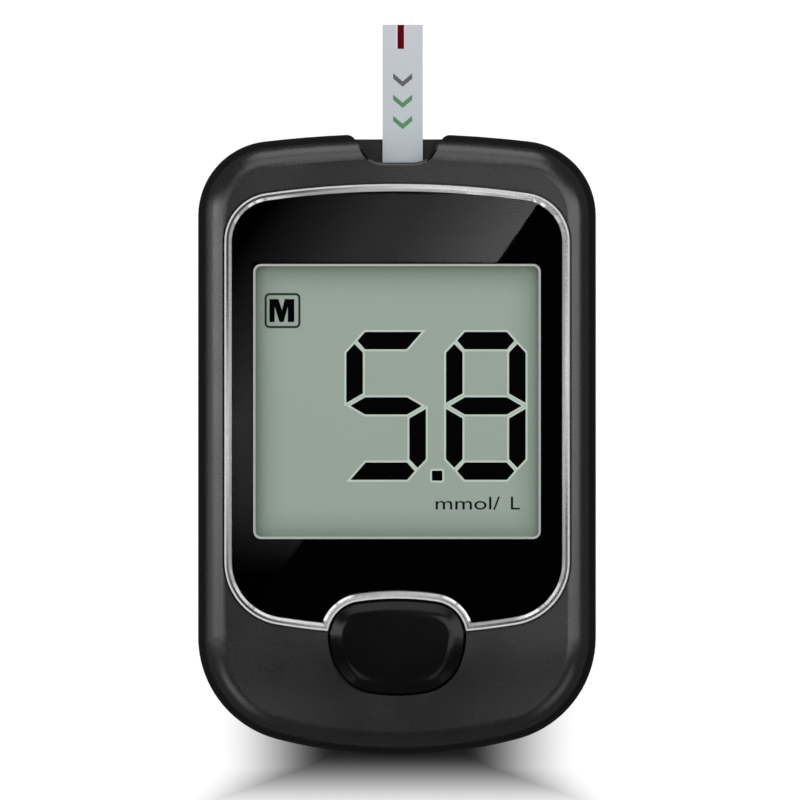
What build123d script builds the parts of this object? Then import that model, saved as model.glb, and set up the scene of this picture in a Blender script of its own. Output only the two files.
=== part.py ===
"""Pocket blood glucose meter, built as separate pieces.

The meter lies on its back: +Z comes out of the display side, +Y points to the
test strip end and +X is to the right for someone reading the display. The
origin is on the flat back face, midway along and across the case. All sizes
are in millimetres.
"""
from build123d import *
from math import sqrt
import os

# ---------------------------------------------------------------- clearances
FIT_GAP = 0.05           # pieces that are pushed or glued together
MATE_GAP = 0.10          # mouldings that locate each other
SLIDE_GAP = 0.15         # pieces that slide on each other
PLAY_GAP = 0.20          # pieces that move with play
SEAT_GAP = 0.10          # air over a piece that is laid in place
SCREW_BITE = 0.03        # pilot bore over a screw's shank
WALL_ROOT = 0.3          # depth to which posts are sunk into the front wall
OVERRUN = 1.0            # length of a cutter past the face that it opens
HUGE = 200.0             # larger than anything in the part
UPWARD = 0.5             # least vertical share of the normal of a front face
LEVEL = 0.985            # least vertical share of the normal of the button's top
UPRIGHT = 0.1            # largest vertical share of the normal of a side

# ---------------------------------------------------------------- case shell
BODY_W = 56.3            # width over the sides
BODY_L = 87.9            # length along the centre line, without the strip
PARTING_Z = 10.0         # plane where front and rear case meet
TOP_ARC_R = 160.0        # end arc at the strip port
TOP_CORNER_R = 10.6
BOTTOM_ARC_R = 67.0      # end arc below the button
BOTTOM_CORNER_R = 14.9
FRONT_EDGE_R = 4.0       # rolled edge round the front face
REAR_EDGE_R = 5.0        # rolled edge round the back face
NOSE_ARC_R = 75.0        # fall of the front face towards the button end
NOSE_L = 16.95
BROW_ARC_R = 25.0        # fall of the front face towards the port end
BROW_L = 5.95
SIDE_WALL = 1.8
FRONT_WALL = 2.4
REAR_WALL = 1.8
LIP_W = 0.8              # rim of the rear case that enters the front case
LIP_H = 1.0
SEAM_DEPTH = 0.2         # fine groove round the parting line
SEAM_H = 0.1             # height of the groove in each half

# ------------------------------------------------------- bezel, lens, window
BEZEL_SIDE_MARGIN = 3.75  # ring to the side of the case
BEZEL_TOP_MARGIN = 7.15   # ring to the port end
BEZEL_BOTTOM_MARGIN = 17.1
BEZEL_TOP_ARC_R = 130.0
BEZEL_TOP_CORNER_R = 6.9
BEZEL_BOTTOM_ARC_R = 105.0
BEZEL_BOTTOM_CORNER_R = 9.0
BEZEL_BAND = 1.05
BEZEL_GAP = 0.3          # open joint between the ring and the case
BEZEL_PROUD = 0.35       # height of the ring over the front face
BEZEL_OUTER_CHAMFER = 0.25
BEZEL_INNER_CHAMFER = 0.45
RECESS_DEPTH = 1.5       # recess that holds ring and lens
GASKET_T = 0.15
MASK_T = 0.10
LENS_T = 1.2
WINDOW_SIDE_MARGIN = 4.07  # window to the side of the ring
WINDOW_TOP_MARGIN = 11.3
WINDOW_BOTTOM_MARGIN = 13.45
WINDOW_R = 1.1
APERTURE_MARGIN = 0.9    # opening of the case round the window

# ----------------------------------------------------------------- display
GLASS_MARGIN_X = 2.1     # display glass beyond the window, each side
GLASS_MARGIN_Y = 1.3
LEDGE_H = 2.6            # contact ledge of the rear glass, at the lower edge
REAR_GLASS_T = 0.8
FRONT_GLASS_T = 0.7
FILM_T = 0.15            # polarizer and reflector
ZEBRA_W = 2.0
ZEBRA_H = 1.4
LCD_FRAME_WALL = 0.8

# ------------------------------------------------------------------ button
BUTTON_W = 19.66         # width of the opening in the case
BUTTON_L = 13.8          # its length along the case
BUTTON_END_MARGIN = 8.35  # opening to the button end of the case
BUTTON_WAIST = 5.0       # from its top to its widest line
BUTTON_SIDE_R = 12.0
BUTTON_TOP_ARC_R = 38.0
BUTTON_TOP_CORNER_R = 5.0
BUTTON_BOTTOM_ARC_R = 22.0
BUTTON_BOTTOM_CORNER_R = 6.5
BUTTON_SLOPE_W = 1.8     # sloped shoulder round the top of the button
BUTTON_SLOPE_H = 0.45
BUTTON_CREST_R = 4.0     # rounding between the shoulder and the top
BUTTON_EDGE_R = 0.35
BUTTON_FLANGE = 0.8      # width of the rim that keeps the cap in the case
BUTTON_TRAVEL = 0.5
SWITCH_W = 4.6
SWITCH_H = 1.5
SWITCH_FLOOR = 0.2
PLUNGER_R = 1.2
PLUNGER_H = 1.2

# -------------------------------------------------------------- strip port
PORT_X = 0.2             # centre of the U-shaped notch
PORT_FLOOR_HALF = 4.4    # half width of the U before its corners are rounded
PORT_MOUTH_HALF = 6.5    # half width at the end of the case
PORT_DEPTH = 4.6
PORT_CORNER_R = 3.6
PORT_LIP_R = 1.4
PORT_SETBACK = 0.79      # flat end of the shelf, behind the end of the case
PORT_SKIRT = 1.0
PORT_FLANGE = 1.5
PORT_FLANGE_SETBACK = 0.5  # flange behind the inside of the case wall
SHELF_RISE = 1.2         # shelf over the board
INSERT_DEPTH = 3.5

# -------------------------------------------------------------- test strip
STRIP_W = 5.68
STRIP_L = 30.0
STRIP_X = 0.8
STRIP_INSERTION = 9.98   # length inside the port
STRIP_BASE_T = 0.35
STRIP_TRACE_T = 0.03
STRIP_TRACE_COUNT = 4
STRIP_TRACE_GAP = 0.35
STRIP_EDGE = 0.34        # bare edge beside the outer traces
STRIP_SPACER_T = 0.07
STRIP_FILM_T = 0.05
STRIP_TAIL = 5.6         # bare length with the contact traces
STRIP_MARK_W = 0.93
STRIP_MARK_L = 3.4
STRIP_MARK_T = 0.02
STRIP_MARK_OFFSET = -0.27  # from the middle of the strip
CONNECTOR_CHEEK = 2.16
CONNECTOR_WALL = 1.1
CONNECTOR_SETBACK = 0.35  # connector mouth behind the skirt of the port
CONTACT_W = 0.6
CONTACT_T = 0.2
CONTACT_REACH = 5.2      # depth of the contact slots past the strip's end
CONTACT_RUN = 1.6        # length of the sloping run of a contact

# --------------------------------------------------------- battery and bay
CELL_R = 5.25            # AAA cell
CELL_L = 44.5
CELL_NUB_R = 1.9
CELL_NUB_H = 0.8
CELL_EDGE_R = 0.45
CELL_PLAY = 0.3          # air round a cell
CELL_RIB_W = 0.7         # rib between the cells
CELL_RIB_H = 3.0
BAY_END_MARGIN = 22.95   # bay to the port end of the case
BAY_WALL = 1.2
BAY_CEILING_T = 1.0
CONTACT_PLATE_T = 0.4
CONTACT_PLATE_W = 9.4
CONTACT_PLATE_H = 9.0
TAB_W = 2.0              # solder tab of a contact plate
SPRING_ROOM = 5.8
SPRING_BIG_R = 3.4
SPRING_WIRE_R = 0.35
SPRING_TURNS = 4
SPRING_CONE_DEG = -12.0

# ----------------------------------------------------------- battery cover
COVER_T = 1.6
COVER_RISE = 7.0         # height of the cover's end wall
RAIL_W = 1.5
RAIL_T = 1.2
HOOK_T = 1.2
HOOK_LIP_T = 1.1
HOOK_L = 8.0
HOOK_EDGE = 0.5          # hook to the side of the cover
HOOK_FROM_BAY_TOP = (11.0, 25.0, 43.0)
PANEL_T = 1.2
GRIP_W = 14.0
GRIP_L = 8.0
GRIP_MARGIN = 4.5
GRIP_DEPTH = 0.5
GRIP_CORNER_R = 2.6
GRIP_RIDGES = 5
ARROW_W = 5.0
ARROW_L = 3.6
ARROW_MARGIN = 2.2
ARROW_DEPTH = 0.3

# ------------------------------------------------------------------ board
BOARD_T = 1.0
BOARD_FLOOR_GAP = 0.3    # air between the bay and the board
BOARD_EDGE_GAP = 0.6     # board edge to the inside of the case
BOARD_END_GAP = 1.07     # board to the port insert
DISPLAY_GAP = 0.25       # air between display and case
MCU_W = 10.0
MCU_H = 1.1
MCU_X = -6.0
MCU_DROP = 10.0          # below the middle of the display
CHIP_W = 4.0
CHIP_H = 0.9
CHIP_BEVEL = 0.15
CHIP_X = 9.0
CHIP_PITCH = 8.0
CHIP_COUNT = 3
CRYSTAL_R = 1.0
CRYSTAL_L = 6.0
BUZZER_R = 6.0
BUZZER_H = 2.6
BUZZER_HOLE_R = 1.0
BUZZER_HOLE_DEPTH = 1.3
BUZZER_MARGIN = 1.8

# ----------------------------------------------------------------- screws
SCREW_R = 1.0
SCREW_L = 12.0
SCREW_HEAD_R = 1.9
SCREW_HEAD_H = 1.4
SCREW_HEAD_EDGE_R = 0.45
SCREW_CROSS_L = 2.3
SCREW_CROSS_W = 0.55
SCREW_SEAT_Z = 2.6
BOSS_R = 2.7
BOSS_SIDE = 6.5          # upper posts to the side of the case
BOSS_BAY_GAP = 0.6       # lower posts to the panels beside the battery bay
BOSS_TOP = 9.0           # upper posts to the port end, measured at the post
BOSS_BOTTOM = 8.24       # lower posts to the button end, measured at the post
BOARD_SCREW_R = 0.8
BOARD_SCREW_HEAD_R = 1.6
BOARD_SCREW_HEAD_H = 1.1
BOARD_SCREW_CROSS_L = 1.9
BOARD_SCREW_CROSS_W = 0.45
BOARD_SCREW_L = 3.4
BOARD_BOSS_R = 2.2
BOARD_SCREW_TOP_X = 14.0
BOARD_SCREW_SIDE = 7.0   # lower board screws to the side of the case
BOARD_SCREW_DROP = 6.8   # lower board screws below the display glass

# ---------------------------------------------------------------- label
LABEL_W = 32.0
LABEL_H = 11.0
LABEL_MARGIN = 3.0
LABEL_R = 1.5
LABEL_T = 0.15

# ------------------------------------------------- levels, from the back up
BAY_FLOOR_Z = COVER_T + CELL_PLAY
CELL_Z = BAY_FLOOR_Z + CELL_R
BAY_CEILING_Z = BAY_FLOOR_Z + 2 * CELL_R + CELL_PLAY
BOARD_Z = BAY_CEILING_Z + BAY_CEILING_T + BOARD_FLOOR_GAP
BOARD_TOP_Z = BOARD_Z + BOARD_T
GLASS_Z = BOARD_TOP_Z + ZEBRA_H
INNER_FRONT_Z = GLASS_Z + REAR_GLASS_T + FRONT_GLASS_T + FILM_T + DISPLAY_GAP
BODY_T = INNER_FRONT_Z + FRONT_WALL
RECESS_Z = BODY_T - RECESS_DEPTH
LENS_Z = RECESS_Z + GASKET_T + MASK_T
SHELF_Z = BOARD_TOP_Z + SHELF_RISE
STRIP_Z = SHELF_Z + SEAT_GAP
TRACE_TOP_Z = STRIP_Z + STRIP_BASE_T + STRIP_TRACE_T
STRIP_TOP_Z = TRACE_TOP_Z + STRIP_SPACER_T + STRIP_FILM_T
CONNECTOR_TOP_Z = INNER_FRONT_Z - SEAT_GAP
PLUNGER_TOP_Z = BOARD_TOP_Z + SWITCH_H + BUTTON_TRAVEL + SEAT_GAP
OPENING_Z = COVER_RISE + SLIDE_GAP
RAIL_Z = COVER_T + SLIDE_GAP
HOOK_LIP_Z = RAIL_Z + RAIL_T + SLIDE_GAP
HOOK_TOP_Z = HOOK_LIP_Z + HOOK_LIP_T

# ------------------------------------------------- places along the case
END_Y = BODY_L / 2
NOSE_START_Y = NOSE_L - END_Y
BROW_START_Y = END_Y - BROW_L
BEZEL_TOP_Y = END_Y - BEZEL_TOP_MARGIN
BEZEL_BOTTOM_Y = BEZEL_BOTTOM_MARGIN - END_Y
WINDOW_TOP_Y = BEZEL_TOP_Y - WINDOW_TOP_MARGIN
WINDOW_BOTTOM_Y = BEZEL_BOTTOM_Y + WINDOW_BOTTOM_MARGIN
WINDOW_H = WINDOW_TOP_Y - WINDOW_BOTTOM_Y
WINDOW_Y = (WINDOW_TOP_Y + WINDOW_BOTTOM_Y) / 2
GLASS_TOP_Y = WINDOW_TOP_Y + GLASS_MARGIN_Y
GLASS_BOTTOM_Y = WINDOW_BOTTOM_Y - GLASS_MARGIN_Y
GLASS_H = GLASS_TOP_Y - GLASS_BOTTOM_Y
BUTTON_BOTTOM_Y = BUTTON_END_MARGIN - END_Y
BUTTON_TOP_Y = BUTTON_BOTTOM_Y + BUTTON_L
BUTTON_WIDEST_Y = BUTTON_TOP_Y - BUTTON_WAIST
BUTTON_Y = (BUTTON_TOP_Y + BUTTON_BOTTOM_Y) / 2
PORT_BOTTOM_Y = END_Y - PORT_DEPTH
PORT_FLAT_Y = END_Y - PORT_SETBACK
STRIP_INNER_Y = PORT_BOTTOM_Y - STRIP_INSERTION
STRIP_END_Y = STRIP_INNER_Y + STRIP_L
CONNECTOR_MOUTH_Y = PORT_BOTTOM_Y - PORT_SKIRT - CONNECTOR_SETBACK
CONNECTOR_BACK_Y = STRIP_INNER_Y - SEAT_GAP - CONNECTOR_WALL
BOARD_TOP_Y = PORT_FLAT_Y - INSERT_DEPTH - BOARD_END_GAP
BAY_L = CELL_L + 2 * CONTACT_PLATE_T + SEAT_GAP + SPRING_ROOM
BAY_TOP_Y = END_Y - BAY_END_MARGIN
BAY_BOTTOM_Y = BAY_TOP_Y - BAY_L
GRIP_Y = BAY_TOP_Y - GRIP_MARGIN - GRIP_L / 2
ARROW_Y = GRIP_Y - GRIP_L / 2 - ARROW_MARGIN - ARROW_L / 2
LABEL_Y = BAY_TOP_Y + LABEL_MARGIN + LABEL_H / 2

# ------------------------------------------------- places across the case
HALF_W = BODY_W / 2
BEZEL_W = BODY_W - 2 * BEZEL_SIDE_MARGIN
WINDOW_W = BEZEL_W - 2 * WINDOW_SIDE_MARGIN
GLASS_W = WINDOW_W + 2 * GLASS_MARGIN_X
CELL_X = CELL_R + (CELL_RIB_W + CELL_PLAY) / 2
BAY_HALF_W = CELL_X + CELL_R + CELL_PLAY
BAY_SIDE = BAY_HALF_W + BAY_WALL
RAIL_SIDE = BAY_SIDE + RAIL_W
HOOK_SIDE = RAIL_SIDE + SLIDE_GAP + HOOK_T
COVER_W = 2 * (HOOK_SIDE + HOOK_EDGE)
OPENING_HALF_W = COVER_W / 2 + SLIDE_GAP
PANEL_SIDE = OPENING_HALF_W + PANEL_T
PORT_SLOPE = (PORT_MOUTH_HALF - PORT_FLOOR_HALF) / PORT_DEPTH
INSERT_HALF_W = PORT_FLOOR_HALF + PORT_SLOPE * (PORT_DEPTH - PORT_SETBACK) + MATE_GAP
STRIP_TRACE_PITCH = (STRIP_W - 2 * STRIP_EDGE) / STRIP_TRACE_COUNT
STRIP_TRACE_W = STRIP_TRACE_PITCH - STRIP_TRACE_GAP
CONNECTOR_W = STRIP_W + 2 * CONNECTOR_CHEEK

# --------------------------------------------------- screws and components
BOSS_TOP_X = HALF_W - BOSS_SIDE
BOSS_TOP_Y = END_Y - TOP_ARC_R + sqrt(TOP_ARC_R**2 - BOSS_TOP_X**2) - BOSS_TOP
BOSS_LOW_X = PANEL_SIDE + BOSS_BAY_GAP + BOSS_R
BOSS_LOW_Y = BOTTOM_ARC_R - END_Y - sqrt(BOTTOM_ARC_R**2 - BOSS_LOW_X**2) + BOSS_BOTTOM
BOSS_XY = [
    (side * x, y)
    for side in (-1, 1)
    for x, y in ((BOSS_TOP_X, BOSS_TOP_Y), (BOSS_LOW_X, BOSS_LOW_Y))
]
BOARD_SCREW_LOW_X = HALF_W - BOARD_SCREW_SIDE
BOARD_SCREW_LOW_Y = GLASS_BOTTOM_Y - BOARD_SCREW_DROP
BOARD_SCREW_XY = [
    (side * x, y)
    for side in (-1, 1)
    for x, y in ((BOARD_SCREW_TOP_X, BOSS_TOP_Y), (BOARD_SCREW_LOW_X, BOARD_SCREW_LOW_Y))
]
MCU_XY = (MCU_X, WINDOW_Y - MCU_DROP)
CHIP_XY = [(CHIP_X, WINDOW_Y + (row - 1) * CHIP_PITCH) for row in range(CHIP_COUNT)]
CRYSTAL_XY = (BOSS_TOP_X, WINDOW_Y)
BUZZER_XY = (0.0, BAY_TOP_Y + BAY_WALL + BUZZER_R + BUZZER_MARGIN)


# ------------------------------------------------------------ basic helpers
def block(x0, x1, y0, y1, z0, z1):
    """A box between two corners."""
    return Pos((x0 + x1) / 2, (y0 + y1) / 2, (z0 + z1) / 2) * Box(x1 - x0, y1 - y0, z1 - z0)


def prism(sketch, z0, z1):
    """A plan outline raised from z0 to z1."""
    return extrude(Pos(0, 0, z0) * sketch, amount=z1 - z0)


def rod(x, y, radius, z0, z1):
    """A round pin along Z."""
    return Pos(x, y, (z0 + z1) / 2) * Cylinder(radius, z1 - z0)


def plate(x, y, width, height, z0, z1, radius):
    """A rectangular plate with rounded corners."""
    return Pos(x, y, 0) * prism(RectangleRounded(width, height, radius), z0, z1)


def bevel(outline, z0, inset0, z1, inset1):
    """Solid with sloping sides between one outline at two heights and insets."""
    sections = [Pos(0, 0, z0) * outline(inset0), Pos(0, 0, z1) * outline(inset1)]
    return loft(sections, ruled=True)


def shell_outline(width, y0, y1, arc0, arc1, corner0, corner1, inset):
    """Straight sides, an arc at each end and rounded corners, moved in by inset."""
    half = width / 2 - inset
    low = y0 + inset
    high = y1 - inset
    sides = Pos(0, (low + high) / 2) * Rectangle(2 * half, high - low)
    top = Pos(0, high - (arc1 - inset)) * Circle(arc1 - inset)
    bottom = Pos(0, low + (arc0 - inset)) * Circle(arc0 - inset)
    outline = sides & top & bottom
    outline = fillet(outline.vertices().group_by(Axis.Y)[-1], corner1 - inset)
    return fillet(outline.vertices().group_by(Axis.Y)[0], corner0 - inset)


def body_outline(inset=0.0):
    """Plan outline of the case."""
    return shell_outline(
        BODY_W, -END_Y, END_Y, BOTTOM_ARC_R, TOP_ARC_R,
        BOTTOM_CORNER_R, TOP_CORNER_R, inset,
    )


def bezel_outline(inset=0.0):
    """Plan outline of the trim ring before the button cuts into it."""
    return shell_outline(
        BEZEL_W, BEZEL_BOTTOM_Y, BEZEL_TOP_Y, BEZEL_BOTTOM_ARC_R, BEZEL_TOP_ARC_R,
        BEZEL_BOTTOM_CORNER_R, BEZEL_TOP_CORNER_R, inset,
    )


def button_outline(inset=0.0):
    """Plan outline of the button: four shallow arcs with rounded corners."""
    side_x = BUTTON_W / 2 - BUTTON_SIDE_R
    radius = BUTTON_SIDE_R - inset
    top_r = BUTTON_TOP_ARC_R - inset
    bottom_r = BUTTON_BOTTOM_ARC_R - inset
    left = Pos(-side_x, BUTTON_WIDEST_Y) * Circle(radius)
    right = Pos(side_x, BUTTON_WIDEST_Y) * Circle(radius)
    top = Pos(0, BUTTON_TOP_Y - BUTTON_TOP_ARC_R) * Circle(top_r)
    bottom = Pos(0, BUTTON_BOTTOM_Y + BUTTON_BOTTOM_ARC_R) * Circle(bottom_r)
    outline = left & right & top & bottom
    upper = outline.vertices().filter_by(lambda v: v.Y > BUTTON_WIDEST_Y)
    outline = fillet(upper, BUTTON_TOP_CORNER_R - inset)
    corners = outline.vertices().group_by(Axis.Y)[0]
    return fillet(corners, BUTTON_BOTTOM_CORNER_R - inset)


# ------------------------------------------------------------- case surfaces
def side_profile(inset, front_z):
    """Side view of the case: flat front that falls away at both ends."""
    half = END_Y + OVERRUN
    nose_r = NOSE_ARC_R - inset
    brow_r = BROW_ARC_R - inset
    nose = Pos(NOSE_START_Y, front_z - nose_r) * Circle(nose_r)
    brow = Pos(BROW_START_Y, front_z - brow_r) * Circle(brow_r)
    middle = (NOSE_START_Y + BROW_START_Y) / 2
    flat = Pos(middle, front_z - HUGE / 2) * Rectangle(BROW_START_Y - NOSE_START_Y, HUGE)
    low_end = Pos((NOSE_START_Y - half) / 2, 0) * Rectangle(half + NOSE_START_Y, HUGE)
    high_end = Pos((BROW_START_Y + half) / 2, 0) * Rectangle(half - BROW_START_Y, HUGE)
    return flat + (nose & low_end) + (brow & high_end)


def front_skin(drop):
    """Everything below the front face, lowered by drop."""
    profile = Plane.YZ * side_profile(drop, BODY_T - drop)
    return extrude(profile, amount=BODY_W, both=True)


def facing(form, least, most):
    """Faces of a form whose normal's vertical share is between two values."""
    return [f for f in form.faces() if least <= round(f.normal_at().Z, 4) <= most]


def shared_edges(faces, others):
    """Edges that lie between two groups of faces."""
    edges = [e for f in others for e in f.edges()]
    return [e for f in faces for e in f.edges() if any(e.is_same(other) for other in edges)]


def rim_edges(form):
    """Edges between the front faces of a form and its sides."""
    edges = [e for f in facing(form, UPWARD, 1.0) for e in f.edges()]
    return [e for e in edges if sum(e.is_same(other) for other in edges) == 1]


def case_form(inset=0.0, floor_z=0.0, front_z=BODY_T):
    """The closed outer form of the case, or the same form moved in by inset."""
    form = prism(body_outline(inset), floor_z, BODY_T + OVERRUN)
    form = form & front_skin(BODY_T - front_z)
    rear_rim = form.faces().sort_by(Axis.Z)[0].outer_wire().edges()
    form = fillet(rear_rim, REAR_EDGE_R - inset)
    return fillet(rim_edges(form), FRONT_EDGE_R - inset)


def seam_groove():
    """Ring cut out of both halves where they meet."""
    ring = body_outline(-OVERRUN) - body_outline(SEAM_DEPTH)
    return prism(ring, PARTING_Z - SEAM_H, PARTING_Z + SEAM_H)


def cavity_form():
    """The space inside the case."""
    return case_form(SIDE_WALL, REAR_WALL, INNER_FRONT_Z)


# ---------------------------------------------------------------- strip port
def port_notch(grow=0.0):
    """Plan outline of the U-shaped notch, as far as the end of the case."""
    far_y = END_Y + PORT_DEPTH
    far_half = PORT_FLOOR_HALF + PORT_SLOPE * (far_y - PORT_BOTTOM_Y)
    corners = [
        (PORT_X - PORT_FLOOR_HALF, PORT_BOTTOM_Y),
        (PORT_X + PORT_FLOOR_HALF, PORT_BOTTOM_Y),
        (PORT_X + far_half, far_y),
        (PORT_X - far_half, far_y),
    ]
    notch = make_face(Polyline(*corners, close=True))
    notch = fillet(notch.vertices().group_by(Axis.Y)[0], PORT_CORNER_R)
    return offset(notch, grow) if grow else notch


def port_cutter():
    """The notch with the soft corners where it meets the end of the case."""
    frame = Pos(PORT_X, PORT_BOTTOM_Y) * Rectangle(4 * PORT_MOUTH_HALF, 4 * PORT_MOUTH_HALF)
    wall = (frame & body_outline()) - port_notch()
    outer = wall.vertices().filter_by(lambda v: v.Y > PORT_FLAT_Y)
    tips = outer.sort_by(lambda v: abs(v.X - PORT_X))[:2]
    wall = fillet(tips, PORT_LIP_R)
    return frame - wall


def port_shelf_cut():
    """Flat end of the case below the notch, so the shelf ends in one line."""
    beyond = Pos(PORT_X, PORT_FLAT_Y + HUGE / 2) * Rectangle(HUGE, HUGE)
    return prism(port_cutter() & beyond, -OVERRUN, BODY_T + OVERRUN)


# --------------------------------------------------------------- case halves
def both_sides(shape):
    """A shape and its mirror image across the centre line."""
    return shape + mirror(shape, about=Plane.YZ)


def rods_at(places, radius, z0, z1):
    """Equal round pins at several places."""
    return [rod(x, y, radius, z0, z1) for x, y in places]


def front_bosses():
    """Posts for the case screws and the board screws."""
    posts = rods_at(BOSS_XY, BOSS_R, PARTING_Z + MATE_GAP, BODY_T)
    posts += rods_at(BOARD_SCREW_XY, BOARD_BOSS_R, BOARD_TOP_Z, BODY_T)
    inside = case_form(SIDE_WALL / 2, REAR_WALL, INNER_FRONT_Z + WALL_ROOT)
    return [post & inside for post in posts]


def port_skirt():
    """Wall that hangs from the front case round the notch."""
    outline = port_notch(PORT_SKIRT) & body_outline(SIDE_WALL / 2)
    skirt = prism(outline, SHELF_Z + MATE_GAP, BODY_T)
    return skirt & case_form(SIDE_WALL / 2, REAR_WALL, INNER_FRONT_Z + WALL_ROOT)


def port_cuts():
    """Notch, seat of the port insert and the slot that the strip enters."""
    half = INSERT_HALF_W + FIT_GAP
    slot = STRIP_W / 2 + PLAY_GAP
    inner_y = PORT_BOTTOM_Y - PORT_SKIRT - OVERRUN
    return [
        prism(port_cutter(), SHELF_Z, HUGE),
        block(PORT_X - half, PORT_X + half, PORT_BOTTOM_Y, HUGE, 0.0, SHELF_Z),
        block(STRIP_X - slot, STRIP_X + slot, inner_y, END_Y, SHELF_Z, STRIP_TOP_Z + PLAY_GAP),
        port_shelf_cut(),
    ]


def front_case():
    """Front half of the case with the openings for lens, button and strip."""
    shell = case_form() - cavity_form()
    shell -= block(-HUGE, HUGE, -HUGE, HUGE, -HUGE, PARTING_Z)
    rim = body_outline(SIDE_WALL - LIP_W - MATE_GAP)
    shell -= prism(rim, PARTING_Z - OVERRUN, PARTING_Z + LIP_H + MATE_GAP)
    shell = shell + front_bosses() + port_skirt()
    width = WINDOW_W + 2 * APERTURE_MARGIN
    height = WINDOW_H + 2 * APERTURE_MARGIN
    radius = WINDOW_R + APERTURE_MARGIN
    cuts = [
        seam_groove(),
        prism(bezel_outline(-BEZEL_GAP), RECESS_Z, HUGE),
        plate(0, WINDOW_Y, width, height, INNER_FRONT_Z - OVERRUN, BODY_T, radius),
        prism(button_outline(), PLUNGER_TOP_Z, HUGE),
    ]
    cuts += port_cuts()
    cuts += rods_at(BOSS_XY, SCREW_R + SCREW_BITE, 0.0, SCREW_SEAT_Z + SCREW_L + PLAY_GAP)
    pilot_top = BOARD_Z + BOARD_SCREW_L + PLAY_GAP
    cuts += rods_at(BOARD_SCREW_XY, BOARD_SCREW_R + SCREW_BITE, 0.0, pilot_top)
    return shell - cuts


def bay_tub():
    """Battery bay, rails and the panels that close it off from the board."""
    top = BAY_TOP_Y + BAY_WALL
    bottom = BAY_BOTTOM_Y - BAY_WALL
    floor = REAR_WALL / 2
    ceiling = BAY_CEILING_Z + BAY_CEILING_T
    panel_z = HOOK_TOP_Z + PLAY_GAP
    panel_top = panel_z + PANEL_T
    end_top = OPENING_Z + PANEL_T
    rib = CELL_RIB_W / 2
    rib_end = BAY_BOTTOM_Y + CONTACT_PLATE_T + MATE_GAP
    sides = [
        block(BAY_HALF_W, BAY_SIDE, bottom, top, RAIL_Z, ceiling),
        block(BAY_SIDE, RAIL_SIDE, bottom, top, RAIL_Z, RAIL_Z + RAIL_T),
        block(BAY_SIDE, PANEL_SIDE, bottom, top, panel_z, panel_top),
        block(OPENING_HALF_W, PANEL_SIDE, bottom, top, floor, panel_top),
        block(OPENING_HALF_W, PANEL_SIDE, -END_Y, bottom, floor, end_top),
    ]
    middle = [
        block(-BAY_SIDE, BAY_SIDE, bottom, top, BAY_CEILING_Z, ceiling),
        block(-BAY_SIDE, BAY_SIDE, BAY_TOP_Y, top, floor, ceiling),
        block(-PANEL_SIDE, PANEL_SIDE, BAY_TOP_Y, top, floor, panel_top),
        block(-BAY_SIDE, BAY_SIDE, bottom, BAY_BOTTOM_Y, RAIL_Z, ceiling),
        block(-PANEL_SIDE, PANEL_SIDE, bottom, BAY_BOTTOM_Y, panel_z, end_top),
        block(-PANEL_SIDE, PANEL_SIDE, -END_Y, bottom, OPENING_Z, end_top),
        block(-rib, rib, rib_end, BAY_TOP_Y, BAY_CEILING_Z - CELL_RIB_H, BAY_CEILING_Z),
    ]
    inside = case_form(SIDE_WALL / 2, floor, INNER_FRONT_Z)
    return [part & inside for part in middle + [both_sides(s) for s in sides]]


def rear_case():
    """Rear half of the case with the battery bay and the screw posts."""
    shell = case_form() - cavity_form()
    shell -= block(-HUGE, HUGE, -HUGE, HUGE, PARTING_Z, HUGE)
    rim = body_outline(SIDE_WALL - LIP_W) - body_outline(SIDE_WALL)
    shell += prism(rim, PARTING_Z - LIP_H, PARTING_Z + LIP_H)
    shell -= block(-OPENING_HALF_W, OPENING_HALF_W, -HUGE, BAY_TOP_Y, -OVERRUN, OPENING_Z)
    posts = rods_at(BOSS_XY, BOSS_R, REAR_WALL / 2, PARTING_Z)
    shell = shell + bay_tub() + posts
    half = INSERT_HALF_W + FIT_GAP
    cuts = [
        seam_groove(),
        port_shelf_cut(),
        block(PORT_X - half, PORT_X + half, PORT_BOTTOM_Y, HUGE, PARTING_Z, HUGE),
        plate(0, LABEL_Y, LABEL_W, LABEL_H, -OVERRUN, LABEL_T, LABEL_R),
    ]
    tab = TAB_W / 2 + MATE_GAP
    tab_low = BAY_TOP_Y - CONTACT_PLATE_T - MATE_GAP
    for x in (-CELL_X, CELL_X):
        cuts.append(block(x - tab, x + tab, tab_low, BAY_TOP_Y, CELL_Z, BOARD_Z))
    cuts += rods_at(BOSS_XY, SCREW_HEAD_R + PLAY_GAP, -OVERRUN, SCREW_SEAT_Z)
    cuts += rods_at(BOSS_XY, SCREW_R + SLIDE_GAP, 0.0, PARTING_Z + OVERRUN)
    return shell - cuts


def case_screws():
    """Pan head screws with a cross recess, put in from the back."""
    screws = []
    for x, y in BOSS_XY:
        head = rod(0, 0, SCREW_HEAD_R, SCREW_SEAT_Z - SCREW_HEAD_H, SCREW_SEAT_Z)
        head = fillet(head.edges().sort_by(Axis.Z)[0], SCREW_HEAD_EDGE_R)
        screw = head + rod(0, 0, SCREW_R, SCREW_SEAT_Z, SCREW_SEAT_Z + SCREW_L)
        screw -= cross_recess(SCREW_CROSS_L, SCREW_CROSS_W, SCREW_SEAT_Z - SCREW_HEAD_H)
        screws.append(Pos(x, y, 0) * screw)
    return Compound(screws)


def cross_recess(length, width, z):
    """Two crossed slots cut up into a screw head whose end is at height z."""
    bar = Pos(0, 0, z) * Box(length, width, length)
    return bar + Rot(0, 0, 90) * bar


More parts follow.
